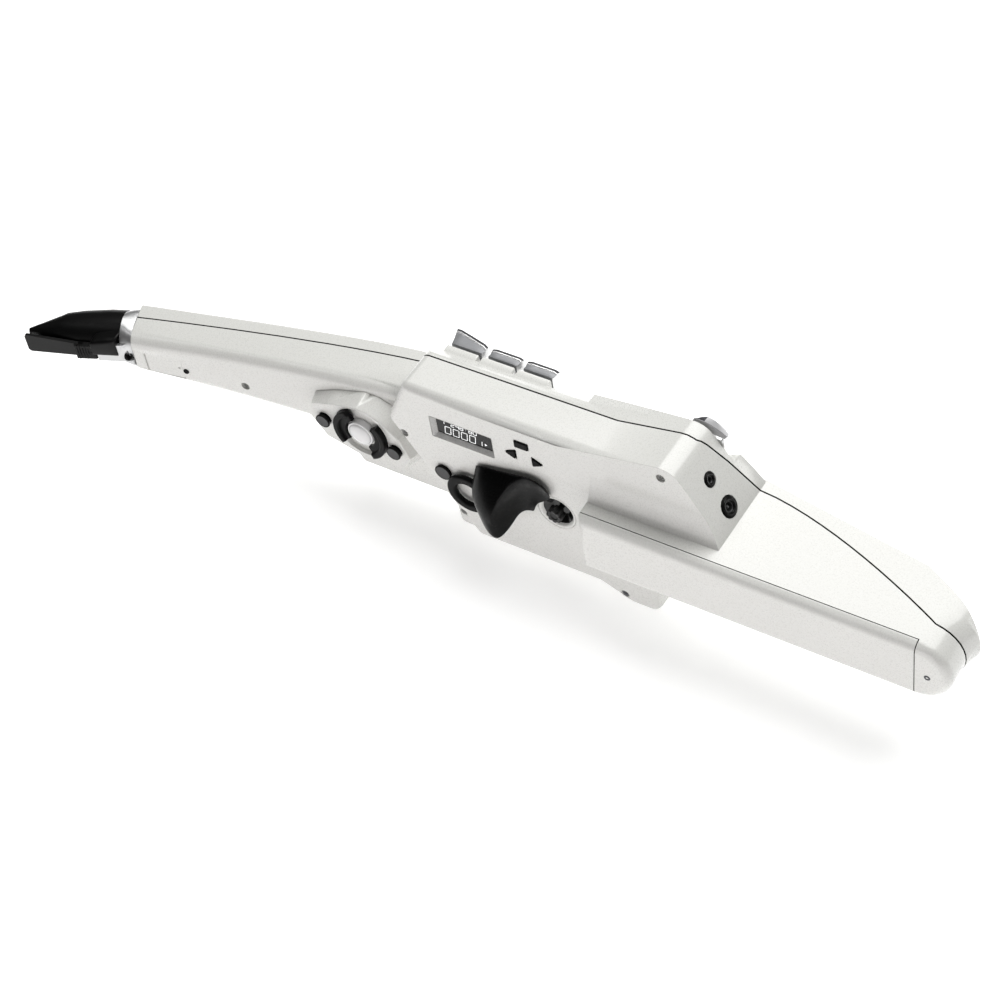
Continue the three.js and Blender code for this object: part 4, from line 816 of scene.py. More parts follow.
def turned(
    profile: Profile, centre: Vector, steps: int = 48, axis: Vector = Y_AXIS, side: Vector = X_AXIS,
    form: Form | None = None,
) -> Form:
    """Spin a profile round an axis.

    Args:
        profile: Points as (distance from the axis, distance along it), in millimetres.
        centre: The point of the axis at 0 along it.
        steps: The steps of the full turn.
        axis: The axis.
        side: A direction square to the axis.
        form: The form to add to, if not a new one.

    Returns:
        The form.
    """
    if form is None:
        form = bmesh.new()
    verts = [form.verts.new(centre + side * (out * MM) + axis * (along * MM)) for out, along in profile]
    edges = [form.edges.new(pair) for pair in zip(verts, verts[1:])]
    bmesh.ops.spin(
        form, geom=verts + edges, cent=centre, axis=axis, angle=math.tau, steps=steps, use_merge=True,
        use_duplicate=False,
    )
    bmesh.ops.remove_doubles(form, verts=form.verts, dist=MERGE_REACH)
    return form


def join(form: Form, other: Form) -> None:
    """Add another form's faces to a form.

    Args:
        form: The form to add to.
        other: The other form. It is used up.
    """
    holder = bpy.data.meshes.new("joined_form")
    other.to_mesh(holder)
    other.free()
    form.from_mesh(holder)
    bpy.data.meshes.remove(holder)


def add_stem(form: Form, node: str, radius: float, top: float, place: Vector) -> None:
    """Add a key's round stem at a place, from its node's foot to the top, with radius and top in millimetres."""
    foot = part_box(node)[0].y / MM
    join(form, turned([(0, foot), (radius, foot), (radius, top), (0, top)], place, steps=24))


def tint_middle(form: Form, centre: Vector, reach: float, levels: tuple[float, float]) -> None:
    """Give the second finish to the faces of a turned form that lie near its axis and between two levels.

    Args:
        form: The form, turned round Y.
        centre: A point of its axis.
        reach: How far from the axis the middle of a face may be, in millimetres.
        levels: The lowest and the highest Y of the middle, in millimetres.
    """
    for face in form.faces:
        middle = face.calc_center_median()
        near = math.hypot(middle.x - centre.x, middle.z - centre.z) < reach * MM
        if near and levels[0] * MM < middle.y < levels[1] * MM:
            face.material_index = Tint.SECOND


@dataclass
class CarriedShape:
    """A CAD node's shape, merged and shaded smooth, which stands for the node."""

    node: str
    slot: str
    flat_angle: float = 0.6
    normal_weight: int = 60

    def build(self) -> None:
        """Make the piece and let it ride on its node's body."""
        form = bmesh.new()
        form.from_mesh(frame["nodes"][self.node].data)
        bmesh.ops.remove_doubles(form, verts=form.verts, dist=MERGE_REACH)
        bmesh.ops.dissolve_limit(
            form, angle_limit=math.radians(self.flat_angle), verts=form.verts, edges=form.edges,
        )
        self.reshape(form)
        piece = Piece(self.node + "_shape", self.finishes(), self.slot, self.node).make(form)
        weighted = piece.modifiers.new("even_normals", "WEIGHTED_NORMAL")
        weighted.keep_sharp = True
        weighted.weight = self.normal_weight

    def finishes(self) -> tuple[Finish, ...]:
        """Return the finishes of the material slots."""
        return (FINISHES[self.slot],)

    def reshape(self, form: Form) -> None:
        """Leave the form as the CAD has it."""


@dataclass
class LowTouch(CarriedShape):
    """The low C key, with its touch lowered and shortened, so that it hides behind the E flat key."""

    level_share: float = 0.4
    reach_share: float = 0.5
    sink: float = 0.5
    shrink: float = 0.4

    def reshape(self, form: Form) -> None:
        """Lower and shorten what stands above the level and past the reach.

        Args:
            form: The key's form.
        """
        low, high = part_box(self.node)
        level = low.y + (high.y - low.y) * self.level_share
        reach = low.x + (high.x - low.x) * self.reach_share
        for vert in form.verts:
            vert.co.y -= max(0.0, vert.co.y - level) * self.sink
            vert.co.x -= max(0.0, vert.co.x - reach) * self.shrink


@dataclass
class SeamedShape(CarriedShape):
    """A shell or the lid, with bevelled seams painted near-black as shade where another piece lies close across a
    gap.
    """

    seam_reach: float = 0.75 * MM
    seam_width: float = 0.3 * MM
    lid_share: float = 0.3
    lid_reach: float = 1.5 * MM
    rim_angle: float = 30.0
    ray_start: float = 0.01 * MM
    ray_inset: float = 0.04

    def finishes(self) -> tuple[Finish, ...]:
        """Return the finishes of the material slots."""
        return FINISHES[self.slot], SEAM_SHADE

    def reshape(self, form: Form) -> None:
        """Bevel the rims of the seams and paint them and the faces in them with the near-black seam shade. The lid's
        seams are finer.

        Args:
            form: The shape's form.
        """
        inside = self.seam_faces(form)
        for face in inside:
            face.material_index = Tint.SECOND
        rims = [
            edge for edge in form.edges
            if len(edge.link_faces) == 2 and (edge.link_faces[0] in inside) != (edge.link_faces[1] in inside)
            and edge.calc_face_angle(0.0) > math.radians(self.rim_angle)
        ]
        LOG.info("%s: %d seam faces, %d rims", self.node, len(inside), len(rims))
        lid = CAD_SKINS["battery_lid"]
        fine = [
            edge for edge in rims
            if self.node == "battery_lid"
            or lid.find_nearest((edge.verts[0].co + edge.verts[1].co) / 2)[3] < self.lid_reach
        ]
        wide = [edge for edge in rims if edge not in fine]
        for group, offset in ((wide, self.seam_width), (fine, self.seam_width * self.lid_share)):
            bmesh.ops.bevel(
                form, geom=[edge for edge in group if edge.is_valid], offset=offset, offset_type="OFFSET",
                segments=1, profile=0.5, affect="EDGES", clamp_overlap=False, material=Tint.SECOND,
            )

    def seam_faces(self, form: Form) -> set[Face]:
        """Find the faces that look across a narrow gap at another piece.

        Args:
            form: The shape's form.

        Returns:
            The faces.
        """
        others = [CAD_SKINS[node] for node in SEAM_NEIGHBOURS if node != self.node]
        bmesh.ops.recalc_face_normals(form, faces=form.faces)
        form.normal_update()
        inside = set()
        for face in form.faces:
            centre = face.calc_center_median()
            starts = [centre] + [vert.co.lerp(centre, self.ray_inset) for vert in face.verts]
            starts += [
                ((edge.verts[0].co + edge.verts[1].co) / 2).lerp(centre, self.ray_inset) for edge in face.edges
            ]
            if any(
                skin.ray_cast(start + face.normal * self.ray_start, face.normal, self.seam_reach)[0] is not None
                for skin in others for start in starts
            ):
                inside.add(face)
        return inside


@dataclass
class FrontShell(SeamedShape):
    """The front shell, with the side keys' plinths lowered, so that the keys' outer faces show."""

    plinth_top: float = 25.9 * MM
    lowered_top: float = 22.5 * MM
    slack: float = 0.4 * MM
    outward: float = 35 * MM
    margin: float = 2 * MM

    def reshape(self, form: Form) -> None:
        """Open the seams, then lower the tops of the three plinths.

        Args:
            form: The shell's form.
        """
        super().reshape(form)
        start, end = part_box("side_b_flat_key")[0].x - self.margin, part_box("high_e_key")[1].x + self.margin
        for vert in form.verts:
            beside = start < vert.co.x < end and vert.co.z > ORIGIN.z + self.outward
            if beside and vert.co.y > self.lowered_top - self.slack:
                vert.co.y -= self.plinth_top - self.lowered_top


@dataclass
class ThumbHook:
    """The right thumb's hook: a horn that rises from a dished seat, curled over towards the bell.

    Its ribs run from the heel to the tip. Each point is (X, height over the panel, Z from the ridge's middle).
    """

    ribs: tuple[tuple[tuple[float, float, float], ...], ...] = (
        (
            (7.4, 0.9, 10.2), (12.0, 1.9, 12.2), (22.0, 2.5, 13.9), (30.0, 2.9, 15.9), (37.0, 3.1, 17.1),
            (40.0, 3.3, 17.6), (45.0, 3.5, 17.6), (49.9, 3.4, 14.9), (52.2, 2.9, 10.6), (52.4, 2.2, 7.2),
        ),
        (
            (5.9, 1.1, 5.6), (9.0, 4.9, 7.4), (17.0, 7.3, 9.2), (25.0, 8.0, 10.8), (31.0, 6.9, 11.2),
            (34.0, 4.2, 11.8), (39.0, 1.9, 12.2), (44.4, 1.3, 10.6), (47.8, 1.6, 7.0), (48.6, 2.3, 3.6),
        ),
        (
            (4.5, 1.1, 0.0), (6.6, 6.8, 1.0), (12.0, 10.9, 2.2), (20.0, 13.0, 3.2), (26.3, 13.1, 3.2),
            (28.8, 8.6, 3.4), (32.4, 3.0, 4.4), (38.6, 1.2, 4.6), (42.6, 1.4, 2.6), (44.6, 2.2, 0.6),
        ),
        (
            (3.9, 1.2, -5.8), (6.0, 7.6, -5.2), (10.8, 13.0, -4.4), (18.0, 16.7, -3.6), (24.2, 17.5, -3.6),
            (27.2, 10.6, -3.4), (31.0, 3.6, -2.4), (36.4, 1.4, -1.4), (40.6, 1.6, -1.8), (42.4, 2.2, -2.8),
        ),
        (
            (4.2, 1.4, -10.6), (7.2, 8.0, -10.2), (12.6, 13.6, -10.0), (18.8, 18.0, -9.4), (24.0, 19.3, -9.6),
            (27.8, 12.0, -9.8), (31.0, 4.0, -8.6), (35.2, 1.9, -6.6), (39.2, 1.9, -5.4), (41.4, 2.2, -5.8),
        ),
        (
            (4.8, 1.6, -13.4), (8.6, 8.1, -13.2), (14.8, 14.2, -14.6), (21.2, 18.4, -18.6), (27.4, 19.6, -20.4),
            (30.0, 12.2, -17.8), (31.0, 4.2, -13.8), (34.4, 2.3, -10.2), (37.9, 2.1, -8.6), (40.6, 2.1, -8.2),
        ),
    )
    skirt: float = 0.25 * MM
    rim_crease: float = 0.62
    heel_crease: float = 0.8
    crest: int = 4
    crest_crease: float = 0.72
    levels: int = 3

    def build(self) -> None:
        """Make the hook on the rear panel."""
        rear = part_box("thumb_hook")[1].y
        form = bmesh.new()
        rows = [
            [Vector((x * MM, rear - y * MM, ORIGIN.z + z * MM)) for x, y, z in rib]
            for rib in self.ribs
        ]
        grid = loft(form, rows)
        walls = bmesh.ops.extrude_edge_only(form, edges=[edge for edge in form.edges if edge.is_boundary])
        for item in walls["geom"]:
            if isinstance(item, Vert):
                item.co.y = rear - self.skirt
        bmesh.ops.contextual_create(form, geom=[edge for edge in form.edges if edge.is_boundary])
        self.crease(form, grid)
        Piece(
            "thumb_hook_horn", (HOOK_BLACK,), "matt_black", "thumb_hook", Edges.ROUND, self.levels,
        ).make(form)

    def crease(self, form: Form, grid: list[list[Vert]]) -> None:
        """Keep the hook's rim, heel and crest firm where the smoothing would melt them.

        Args:
            form: The hook's form.
            grid: Its vertices, rib by rib.
        """
        firm = form.edges.layers.float.new("crease_edge")
        rims = {*grid[0], *grid[-1], *(row[0] for row in grid), *(row[-1] for row in grid)}
        crest = {row[self.crest] for row in grid[1:-1]}
        for edge in form.edges:
            if all(vert in rims for vert in edge.verts):
                edge[firm] = self.rim_crease
        for edge in grid[0][0].link_edges:
            edge[firm] = self.heel_crease
        for edge in form.edges:
            if all(vert in crest for vert in edge.verts):
                edge[firm] = self.crest_crease


@dataclass
class StrapRing:
    """The neck strap's ring: a flat loop with rounded edges on a short foot."""

    centre: Point = (0.5, -20.6, 47.9)
    outer: float = 12.8
    band: float = 5.4
    thickness: float = 3.3
    round_share: float = 0.45
    round_steps: int = 8
    foot_share: float = 0.4
    foot_radius: float = 2.6
    foot_flare: float = 2.9
    foot_height: float = 4.9

    def build(self) -> None:
        """Make the ring where the CAD ring stands."""
        centre = millimetres(*self.centre)
        outer, band, thickness = self.outer, self.band, self.thickness
        edge = thickness * self.round_share
        profile = []
        for out, along, start in (
            (outer - edge, edge, -90), (outer - edge, thickness - edge, 0),
            (outer - band + edge, thickness - edge, 90), (outer - band + edge, edge, 180),
        ):
            for k in range(self.round_steps + 1):
                angle = math.radians(start + 90 * k / self.round_steps)
                profile.append((out + edge * math.cos(angle), along + edge * math.sin(angle)))
        form = turned(profile + profile[:1], centre, steps=72)
        start, end = thickness * self.foot_share, self.foot_height
        foot = [(0, start), (self.foot_radius, start), (self.foot_flare, end), (0, end)]
        join(form, turned(foot, centre + millimetres(outer - band / 2, 0, 0), steps=32))
        Piece("strap_ring_loop", (BLACK,), "matt_black", "strap_ring").make(form)


@dataclass
class VolumeDial:
    """The sunk volume control: a glossy cone with a lobed knob in it."""

    lobes: int = 8
    lobe_depth: float = 0.2
    lip_share: float = 0.9
    grip_radius: float = 4.7
    steps: int = 96

    def build(self) -> None:
        """Make the cone and the knob."""
        self.cone()
        self.knob()

    def cone(self) -> None:
        """Make the rolled rim on the panel, and the cone from the rim to its flat floor."""
        low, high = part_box("volume_dish")
        centre = centre_of("volume_dish") + Y_AXIS * low.y
        radius = (high.x - low.x) / 2 / MM
        depth = (high.y - low.y) / MM
        lip = radius * self.lip_share
        rim = [
            (lip - 1.5, 1.9), (lip - 1.1, 1.2), (lip - 0.5, 0.45), (lip, 0.1), (lip + 0.4, 0.02),
            (radius - 0.1, 0.02), (radius - 0.1, 0.7), (lip, 1.4), (lip - 1.5, 1.9),
        ]
        Piece("volume_rim", (SHELL,), "shell_white", "volume_dish").make(turned(rim, centre, steps=72))
        cone = [
            (0.0, depth - 1.5), (radius * 0.44, depth - 1.5), (radius * 0.47, depth - 1.7),
            (radius * 0.54, depth - 2.6), (lip - 1.5, 1.5), (lip - 1.3, 1.35), (lip - 1.25, 1.9),
            (radius * 0.62, depth - 0.3), (0.0, depth),
        ]
        Piece("volume_cone", (DIAL_BLACK,), "matt_black", "volume_dish").make(turned(cone, centre, steps=72))

    def knob(self) -> None:
        """Make the knob: a lobed grip with a dished top on its shaft."""
        low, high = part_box("volume_knob")
        centre = centre_of("volume_knob") + Y_AXIS * low.y
        depth = (high.y - low.y) / MM
        rows = []
        for out, along, lobed in (
            (0.3, 0.95, 0.0), (0.42, 0.9, 0.0), (0.52, 0.35, 0.2), (0.8, 0.04, 0.8), (0.92, 0.2, 1.0),
            (0.98, 0.8, 1.0), (1.0, depth * 0.36, 1.0), (0.97, depth * 0.42, 1.0), (0.33, depth * 0.42, 0.0),
            (0.33, depth * 0.98, 0.0),
        ):
            row = []
            for k in range(self.steps):
                turn = math.tau * k / self.steps
                wave = 1 - lobed * self.lobe_depth * (0.5 - 0.5 * math.cos(self.lobes * turn)) ** 2
                reach = out * self.grip_radius * wave * MM
                row.append(centre + Vector((reach * math.cos(turn), along * MM, reach * math.sin(turn))))
            rows.append(row)
        form = capped(rows)
        Piece("volume_knob_grip", (GRIP_BLACK,), "matt_black", "volume_knob", Edges.CRISP).make(form)


SEGMENTS = {"0": "abcdef", "1": "bc", "2": "abged", "4": "fgbc", "8": "abcdefg"}
SEGMENT_ENDS = {
    "a": (0, 1, 1, 1), "b": (1, 0.5, 1, 1), "c": (1, 0, 1, 0.5), "d": (0, 0, 1, 0), "e": (0, 0, 0, 0.5),
    "f": (0, 0.5, 0, 1), "g": (0, 0.5, 1, 0.5),
}


@dataclass
class DisplayPanel:
    """The display: a white bezel, painted grey as the shade of its recess, that slopes down to black glass with lit
    seven-segment figures.

    Each ring of the bezel is (its margins at the left, right, low and high side, its corners' radius, how far it is
    sunk below the panel), and each row of figures is (figures, left, foot, width, height).
    """

    inner: tuple[float, float, float, float] = (2.4, 0.5, 1.9, 0.25)
    outer: tuple[float, float, float, float] = (0.02, 0.02, 0.02, 0.02)
    corner_steps: int = 6
    sink: float = 2.0
    back: float = 0.25
    slope_end: float = 0.1
    glass_lap: float = 0.35
    glass_margin: float = 0.05
    glass_corner: float = 0.5
    glass_gap: float = 0.08
    glass_foot: float = 0.6
    figure_top: float = 0.02
    figure_foot: float = 0.12
    stroke: float = 0.42
    slant: float = 0.12
    pitch: float = 1.42
    dot_left: float = 0.35
    dot_heights: tuple[float, float] = (0.3, 0.7)
    rows: tuple[tuple[str, float, float, float, float], ...] = (
        ("1", 5.6, 9.6, 1.6, 2.8), ("248-80", 11.4, 9.6, 1.9, 2.8), ("0000", 6.9, 3.0, 3.5, 5.2),
        ("1", 27.4, 3.2, 1.9, 3.4),
    )
    arrow: tuple[tuple[float, float], ...] = ((31.2, 4.0), (32.7, 4.9), (31.2, 5.8))
    corner: Vector = field(init=False)
    width: float = field(init=False)
    height: float = field(init=False)

    def __post_init__(self) -> None:
        """Take the display's place and size from the frame."""
        low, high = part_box("display_window")
        self.corner = Vector((low.x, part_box("volume_dish")[0].y, low.z))
        self.width = (high.x - low.x) / MM
        self.height = (high.z - low.z) / MM

    def build(self) -> None:
        """Make the bezel, the glass and the figures."""
        self.bezel()
        self.glass()
        self.figures()

    def point(self, across: float, up: float, down: float) -> Vector:
        """Return a point of the display from its lower left corner, sunk below the panel, in millimetres."""
        return self.corner + millimetres(across, down, up)

    def loop(self, margins: tuple[float, ...], radius: float, down: float) -> list[Vector]:
        """Find the points of a rounded rectangle.

        Args:
            margins: How far it is inset from the display's left, right, low and high sides, in millimetres.
            radius: Its corners' radius.
            down: How far it is sunk below the panel.

        Returns:
            The points.
        """
        left, right, low, high = margins
        points = []
        width, height = self.width, self.height
        for across, up, start in (
            (width - right - radius, low + radius, -90), (width - right - radius, height - high - radius, 0),
            (left + radius, height - high - radius, 90), (left + radius, low + radius, 180),
        ):
            for k in range(self.corner_steps + 1):
                angle = math.radians(start + 90 * k / self.corner_steps)
                points.append(self.point(across + radius * math.cos(angle), up + radius * math.sin(angle), down))
        return points

    def bezel(self) -> None:
        """Make the sloped frame between the panel and the glass."""
        slope_end = tuple(margin - self.slope_end for margin in self.inner)
        rings = [
            (self.outer, 1.0, 0.5), (self.outer, 1.0, 0.12), ((0.12, 0.1, 0.12, 0.1), 0.95, 0.03),
            ((0.4, 0.18, 0.35, 0.14), 0.9, 0.12), (slope_end, 0.6, self.sink - 0.12), (self.inner, 0.55, self.sink),
            (self.inner, 0.55, self.sink + self.back), (self.outer, 1.0, self.sink + self.back),
        ]
        form = bmesh.new()
        loft(form, [self.loop(*ring) for ring in rings + rings[:1]], closed=True)
        bmesh.ops.remove_doubles(form, verts=form.verts, dist=MERGE_REACH)
        Piece("display_bezel", (BEZEL_PAINTED_SHADE,), "shell_white", "display_window").make(form)

    def glass(self) -> None:
        """Make the glass below the bezel."""
        margins = tuple(max(self.glass_margin, margin - self.glass_lap) for margin in self.inner)
        levels = (self.sink + self.glass_gap, self.sink + self.glass_foot)
        form = capped([self.loop(margins, self.glass_corner, down) for down in levels])
        Piece("display_glass", (GLASS,), "display_black", "display_window", Edges.CRISP).make(form)

    def figures(self) -> None:
        """Make the lit figures: a small row above a large one, and an arrow."""
        form = bmesh.new()
        for row in self.rows:
            self.row(form, *row)
        self.plate(form, [Vector(point) for point in self.arrow])
        Piece("display_figures", (LIT,), "display_black", "display_window", Edges.CRISP).make(form)

    def row(self, form: Form, text: str, across: float, up: float, width: float, height: float) -> None:
        """Add a row of figures.

        Args:
            form: The form to add to.
            text: The figures; "-" is a mark of two dots.
            across: The left of the first, in millimetres.
            up: Their foot.
            width: Their width.
            height: Their height.
        """
        for index, figure in enumerate(text):
            left = across + index * width * self.pitch
            if figure == "-":
                dot = left + width * self.dot_left
                for share in self.dot_heights:
                    self.bar(form, dot, up + height * share, dot + self.stroke, up + height * share)
                continue
            for segment in SEGMENTS[figure]:
                x0, y0, x1, y1 = SEGMENT_ENDS[segment]
                self.bar(
                    form, left + x0 * width + self.slant * y0 * height, up + y0 * height,
                    left + x1 * width + self.slant * y1 * height, up + y1 * height,
                )

    def bar(self, form: Form, x0: float, y0: float, x1: float, y1: float) -> None:
        """Add one segment as a bar with pointed ends.

        Args:
            form: The form to add to.
            x0: Where it starts, across the display, in millimetres.
            y0: Where it starts, up the display.
            x1: Where it ends, across.
            y1: Where it ends, up.
        """
        run = Vector((x1 - x0, y1 - y0)).normalized()
        side = Vector((-run.y, run.x)) * (self.stroke / 2)
        tip = run * (self.stroke / 2)
        start, end = Vector((x0, y0)), Vector((x1, y1))
        self.plate(form, [start, start + tip + side, end - tip + side, end, end - tip - side, start + tip - side])

    def plate(self, form: Form, outline: list[Vector]) -> None:
        """Add a thin plate just over the glass.

        Args:
            form: The form to add to.
            outline: Its outline on the display, in millimetres.
        """
        upper, lower = (
            [form.verts.new(self.point(point.x, point.y, self.sink + down)) for point in outline]
            for down in (self.figure_top, self.figure_foot)
        )
        form.faces.new(upper)
        form.faces.new(list(reversed(lower)))
        for k in range(len(outline)):
            n = (k + 1) % len(outline)
            form.faces.new((upper[k], lower[k], lower[n], upper[n]))


@dataclass
class SideKey:
    """A silver side key: a block along the instrument with a hollow outer face, a painted highlight along its upper
    edge and its end, and painted shade on the chamfer over it.

    Its start and end are each an X at the foot and an X a step further up. Its section's points are (height over
    the foot, distance out from the node's side), and the bands are the finishes between them.
    """

    node: str
    start: tuple[float, float]
    end: tuple[float, float]
    rise: float = 0.0
    rise_from: float = 0.45
    rise_over: float = 3.8
    foot: float = 24.3
    step: float = 6.0
    overhang: float = 0.2
    inset: float = 0.5
    inset_above: float = 3.0
    inset_share: float = 0.6
    stations: int = 8
    section: tuple[tuple[float, float], ...] = (
        (0.0, -7.9), (0.0, -0.5), (0.4, 0.0), (2.2, -0.5), (4.1, -0.35), (4.5, 0.05), (4.95, 0.05), (5.1, -0.1),
        (6.7, -0.5), (6.9, -2.4), (6.4, -7.3), (5.8, -7.9),
    )
    # Bands by face: silver face, painted highlight on the rounded upper edge, painted shade on the chamfer, silver
    # behind.
    bands: tuple[Tint, ...] = (Tint.MAIN,) * 4 + (Tint.SECOND,) * 2 + (Tint.THIRD,) * 4 + (Tint.MAIN,) * 2
    stem: float = 2.3
    stem_bite: float = 0.5

    def build(self) -> None:
        """Make the key over its plinth, with its stem."""
        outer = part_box(self.node)[1].z / MM + self.overhang
        rows = []
        for k in range(self.stations + 1):
            share = k / self.stations
            inset = self.inset if k in (0, self.stations) else 0.0
            rise = self.rise * (1 - share)
            row = []
            for up, out in self.section:
                risen = rise * min(max(0.0, up - self.rise_from) / self.rise_over, 1.0)
                lift = up + risen - inset * (up > self.inset_above)
                left = self.start[0] + (self.start[1] - self.start[0]) * lift / self.step
                right = self.end[0] + (self.end[1] - self.end[0]) * lift / self.step
                row.append(millimetres(
                    left + (right - left) * share, self.foot + lift, outer + out - inset * self.inset_share,
                ))
            rows.append(row)
        form = capped(rows)
        *walls, _, end = form.faces
        for index, face in enumerate(walls):
            face.material_index = self.bands[index % len(self.bands)]
        # The end face takes the painted highlight.
        end.material_index = Tint.SECOND
        add_stem(form, self.node, self.stem, self.foot + self.stem_bite, centre_of(self.node))
        Piece(
            self.node + "_lever", (FACE_SILVER, PAINTED_HIGHLIGHT_SILVER, PAINTED_SHADE_SILVER), "key_silver", self.node, Edges.CRISP,
        ).make(form)


@dataclass
class CornerKey:
    """The E flat key: a silver wedge round the bulge's corner, with painted shade on its end and on the wall of its
    first stations, and a painted highlight along its top edge.

    Each station of its outer wall is (X and Z at the foot, X and Z at the top), with a height and a depth.
    """

    outer: tuple[tuple[float, float, float, float], ...] = (
        (117.0, 118.8, 117.4, 118.2), (119.4, 119.0, 119.8, 118.6), (122.6, 118.9, 122.4, 118.2),
        (126.6, 118.0, 126.4, 116.8), (129.6, 116.8, 129.2, 114.9), (132.4, 115.2, 131.8, 112.9),
        (134.6, 113.6, 133.8, 110.9),
    )
    tops: tuple[float, ...] = (21.6, 23.4, 25.3, 25.5, 25.5, 25.3, 24.8)
    depths: tuple[float, ...] = (2.5, 4.5, 6.5, 6.5, 5.5, 4.0, 2.4)
    inward: tuple[float, float] = (-0.42, -0.9)
    foot: float = 20.4
    dark_stations: int = 2
    wall: tuple[int, ...] = (2, 3, 4)
    stem: float = 2.2
    stem_bite: float = 0.4
    stem_place: Point = (117.2, 0, 113.4)

    def build(self) -> None:
        """Make the key with its stem."""
        foot, rows = self.foot, []
        for (x0, z0, x1, z1), top, depth in zip(self.outer, self.tops, self.depths):
            inward = Vector(self.inward) * depth
            rows.append([
                millimetres(x0 + inward.x, foot, z0 + inward.y),
                millimetres(x0 - 0.2, foot, z0 - 0.4),
                millimetres(x0, foot + 0.4, z0),
                millimetres(x0 * 0.5 + x1 * 0.5, (foot + top) / 2, (z0 + z1) / 2 - 0.15),
                millimetres(x1, top - 0.5, z1),
                millimetres(x1 - 0.25, top, z1 - 0.5),
                millimetres(x1 + inward.x, top - 0.4, z1 + inward.y),
            ])
        form = capped(rows)
        *walls, _, end = form.faces
        # The first stations' wall and the end take painted shade, the top edge of the wall a painted highlight.
        for index, face in enumerate(walls):
            station, place = divmod(index, len(rows[0]))
            if station < self.dark_stations and place in self.wall:
                face.material_index = Tint.THIRD
            elif place == self.wall[-1]:
                face.material_index = Tint.SECOND
        end.material_index = Tint.THIRD
        add_stem(form, "e_flat_key", self.stem, foot + self.stem_bite, millimetres(*self.stem_place))
        Piece(
            "e_flat_wedge", (CORNER_SILVER, PAINTED_HIGHLIGHT_SILVER, PAINTED_SHADE_SILVER), "key_silver", "e_flat_key", Edges.CRISP,
        ).make(form)


@dataclass
class PressButton:
    """A round black button with a chamfer and a grey face, on a neck that passes the plate at its seat."""

    node: str
    radius: float
    top: float
    neck: float
    seat: float
    face_inset: float = 0.7
    face_depth: float = 0.4

    def build(self) -> None:
        """Make the button on its node's place."""
        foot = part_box(self.node)[1].y / MM
        centre = centre_of(self.node)
        reach, top, neck, seat = self.radius, self.top, self.neck, self.seat
        form = turned(
            [
                (0, foot), (neck, foot), (neck, seat), (reach * 0.98, seat - 0.15), (reach, top + 0.55),
                (reach - 0.15, top + 0.15), (reach - 0.6, top), (reach - 0.75, top + 0.1),
                (reach * 0.4, top + 0.22), (0, top + 0.25),
            ],
            centre,
        )
        tint_middle(form, centre, reach - self.face_inset, (-math.inf, top + self.face_depth))
        Piece(self.node + "_cap", (BLACK, BUTTON_FACE), "matt_black", self.node, Edges.CRISP).make(form)


@dataclass
class OctaveKey:
    """One of the two arcs round the thumb's rest: a low step with a raised outer wall."""

    node: str
    top: float = -15.4
    wall: float = 1.5
    steps: int = 28
    end_gap: float = 0.35
    end_inset: float = 0.25

    def build(self) -> None:
        """Make the arc over its node's place."""
        centre = centre_of("thumb_rest")
        low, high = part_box(self.node)
        middle = (low + high) / 2 - centre
        facing = math.atan2(middle.z, middle.x)
        turns, reaches = [], []
        for vert in frame["nodes"][self.node].data.vertices:
            off = vert.co - centre
            turn = math.atan2(off.z, off.x) - facing
            turns.append((turn + math.pi) % math.tau - math.pi)
            reaches.append(math.hypot(off.x, off.z) / MM)
        start, end = min(turns) + facing, max(turns) + facing
        inner, outer = min(reaches), max(reaches)
        foot, top, wall = high.y / MM, self.top, self.wall
        section = [
            (inner, foot), (inner, top + 0.4), (inner + 0.35, top), (inner + (outer - inner) * 0.5, top + 0.15),
            (inner + (outer - inner) * 0.56, top - wall * 0.75), (inner + (outer - inner) * 0.64, top - wall),
            (outer - 0.45, top - wall), (outer, top - wall + 0.45), (outer, foot),
        ]
        rows = []
        for k in range(self.steps + 1):
            inset = self.end_inset if k in (0, self.steps) else 0.0
            turn = start + (end - start) * min(max(k, self.end_gap), self.steps - self.end_gap) / self.steps
            row = []
            for out, along in section:
                x, z = centre.x + out * math.cos(turn) * MM, centre.z + out * math.sin(turn) * MM
                row.append(Vector((x, (along + inset * (along < foot)) * MM, z)))
            rows.append(row)
        form = capped(rows)
        Piece(self.node + "_arc", (BLACK,), "matt_black", self.node, Edges.CRISP).make(form)


@dataclass
class ThumbDome:
    """The left thumb's rest: a glossy white dome in a grooved collar."""

    crown: float = -17.3
    collar: float = 1.1
    groove: float = 0.25
    steps: int = 8

    def build(self) -> None:
        """Make the dome over the rest's place."""
        low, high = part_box("thumb_rest")
        reach, base = (high.x - low.x) / 2 / MM, low.y / MM
        profile = [
            (0, high.y / MM), (reach, high.y / MM), (reach, base + 0.5), (reach - 0.3, base + 0.1),
            (reach - 0.8, base),
        ]
        for k in range(self.steps + 1):
            angle = math.radians(90 * k / self.steps)
            rise = (self.crown - base - self.groove) * math.sin(angle)
            profile.append(((reach - self.collar) * math.cos(angle), base + self.groove + rise))
        form = turned(profile, centre_of("thumb_rest"), steps=72)
        Piece("thumb_rest_dome", (REST_WHITE,), "shell_white", "thumb_rest").make(form)


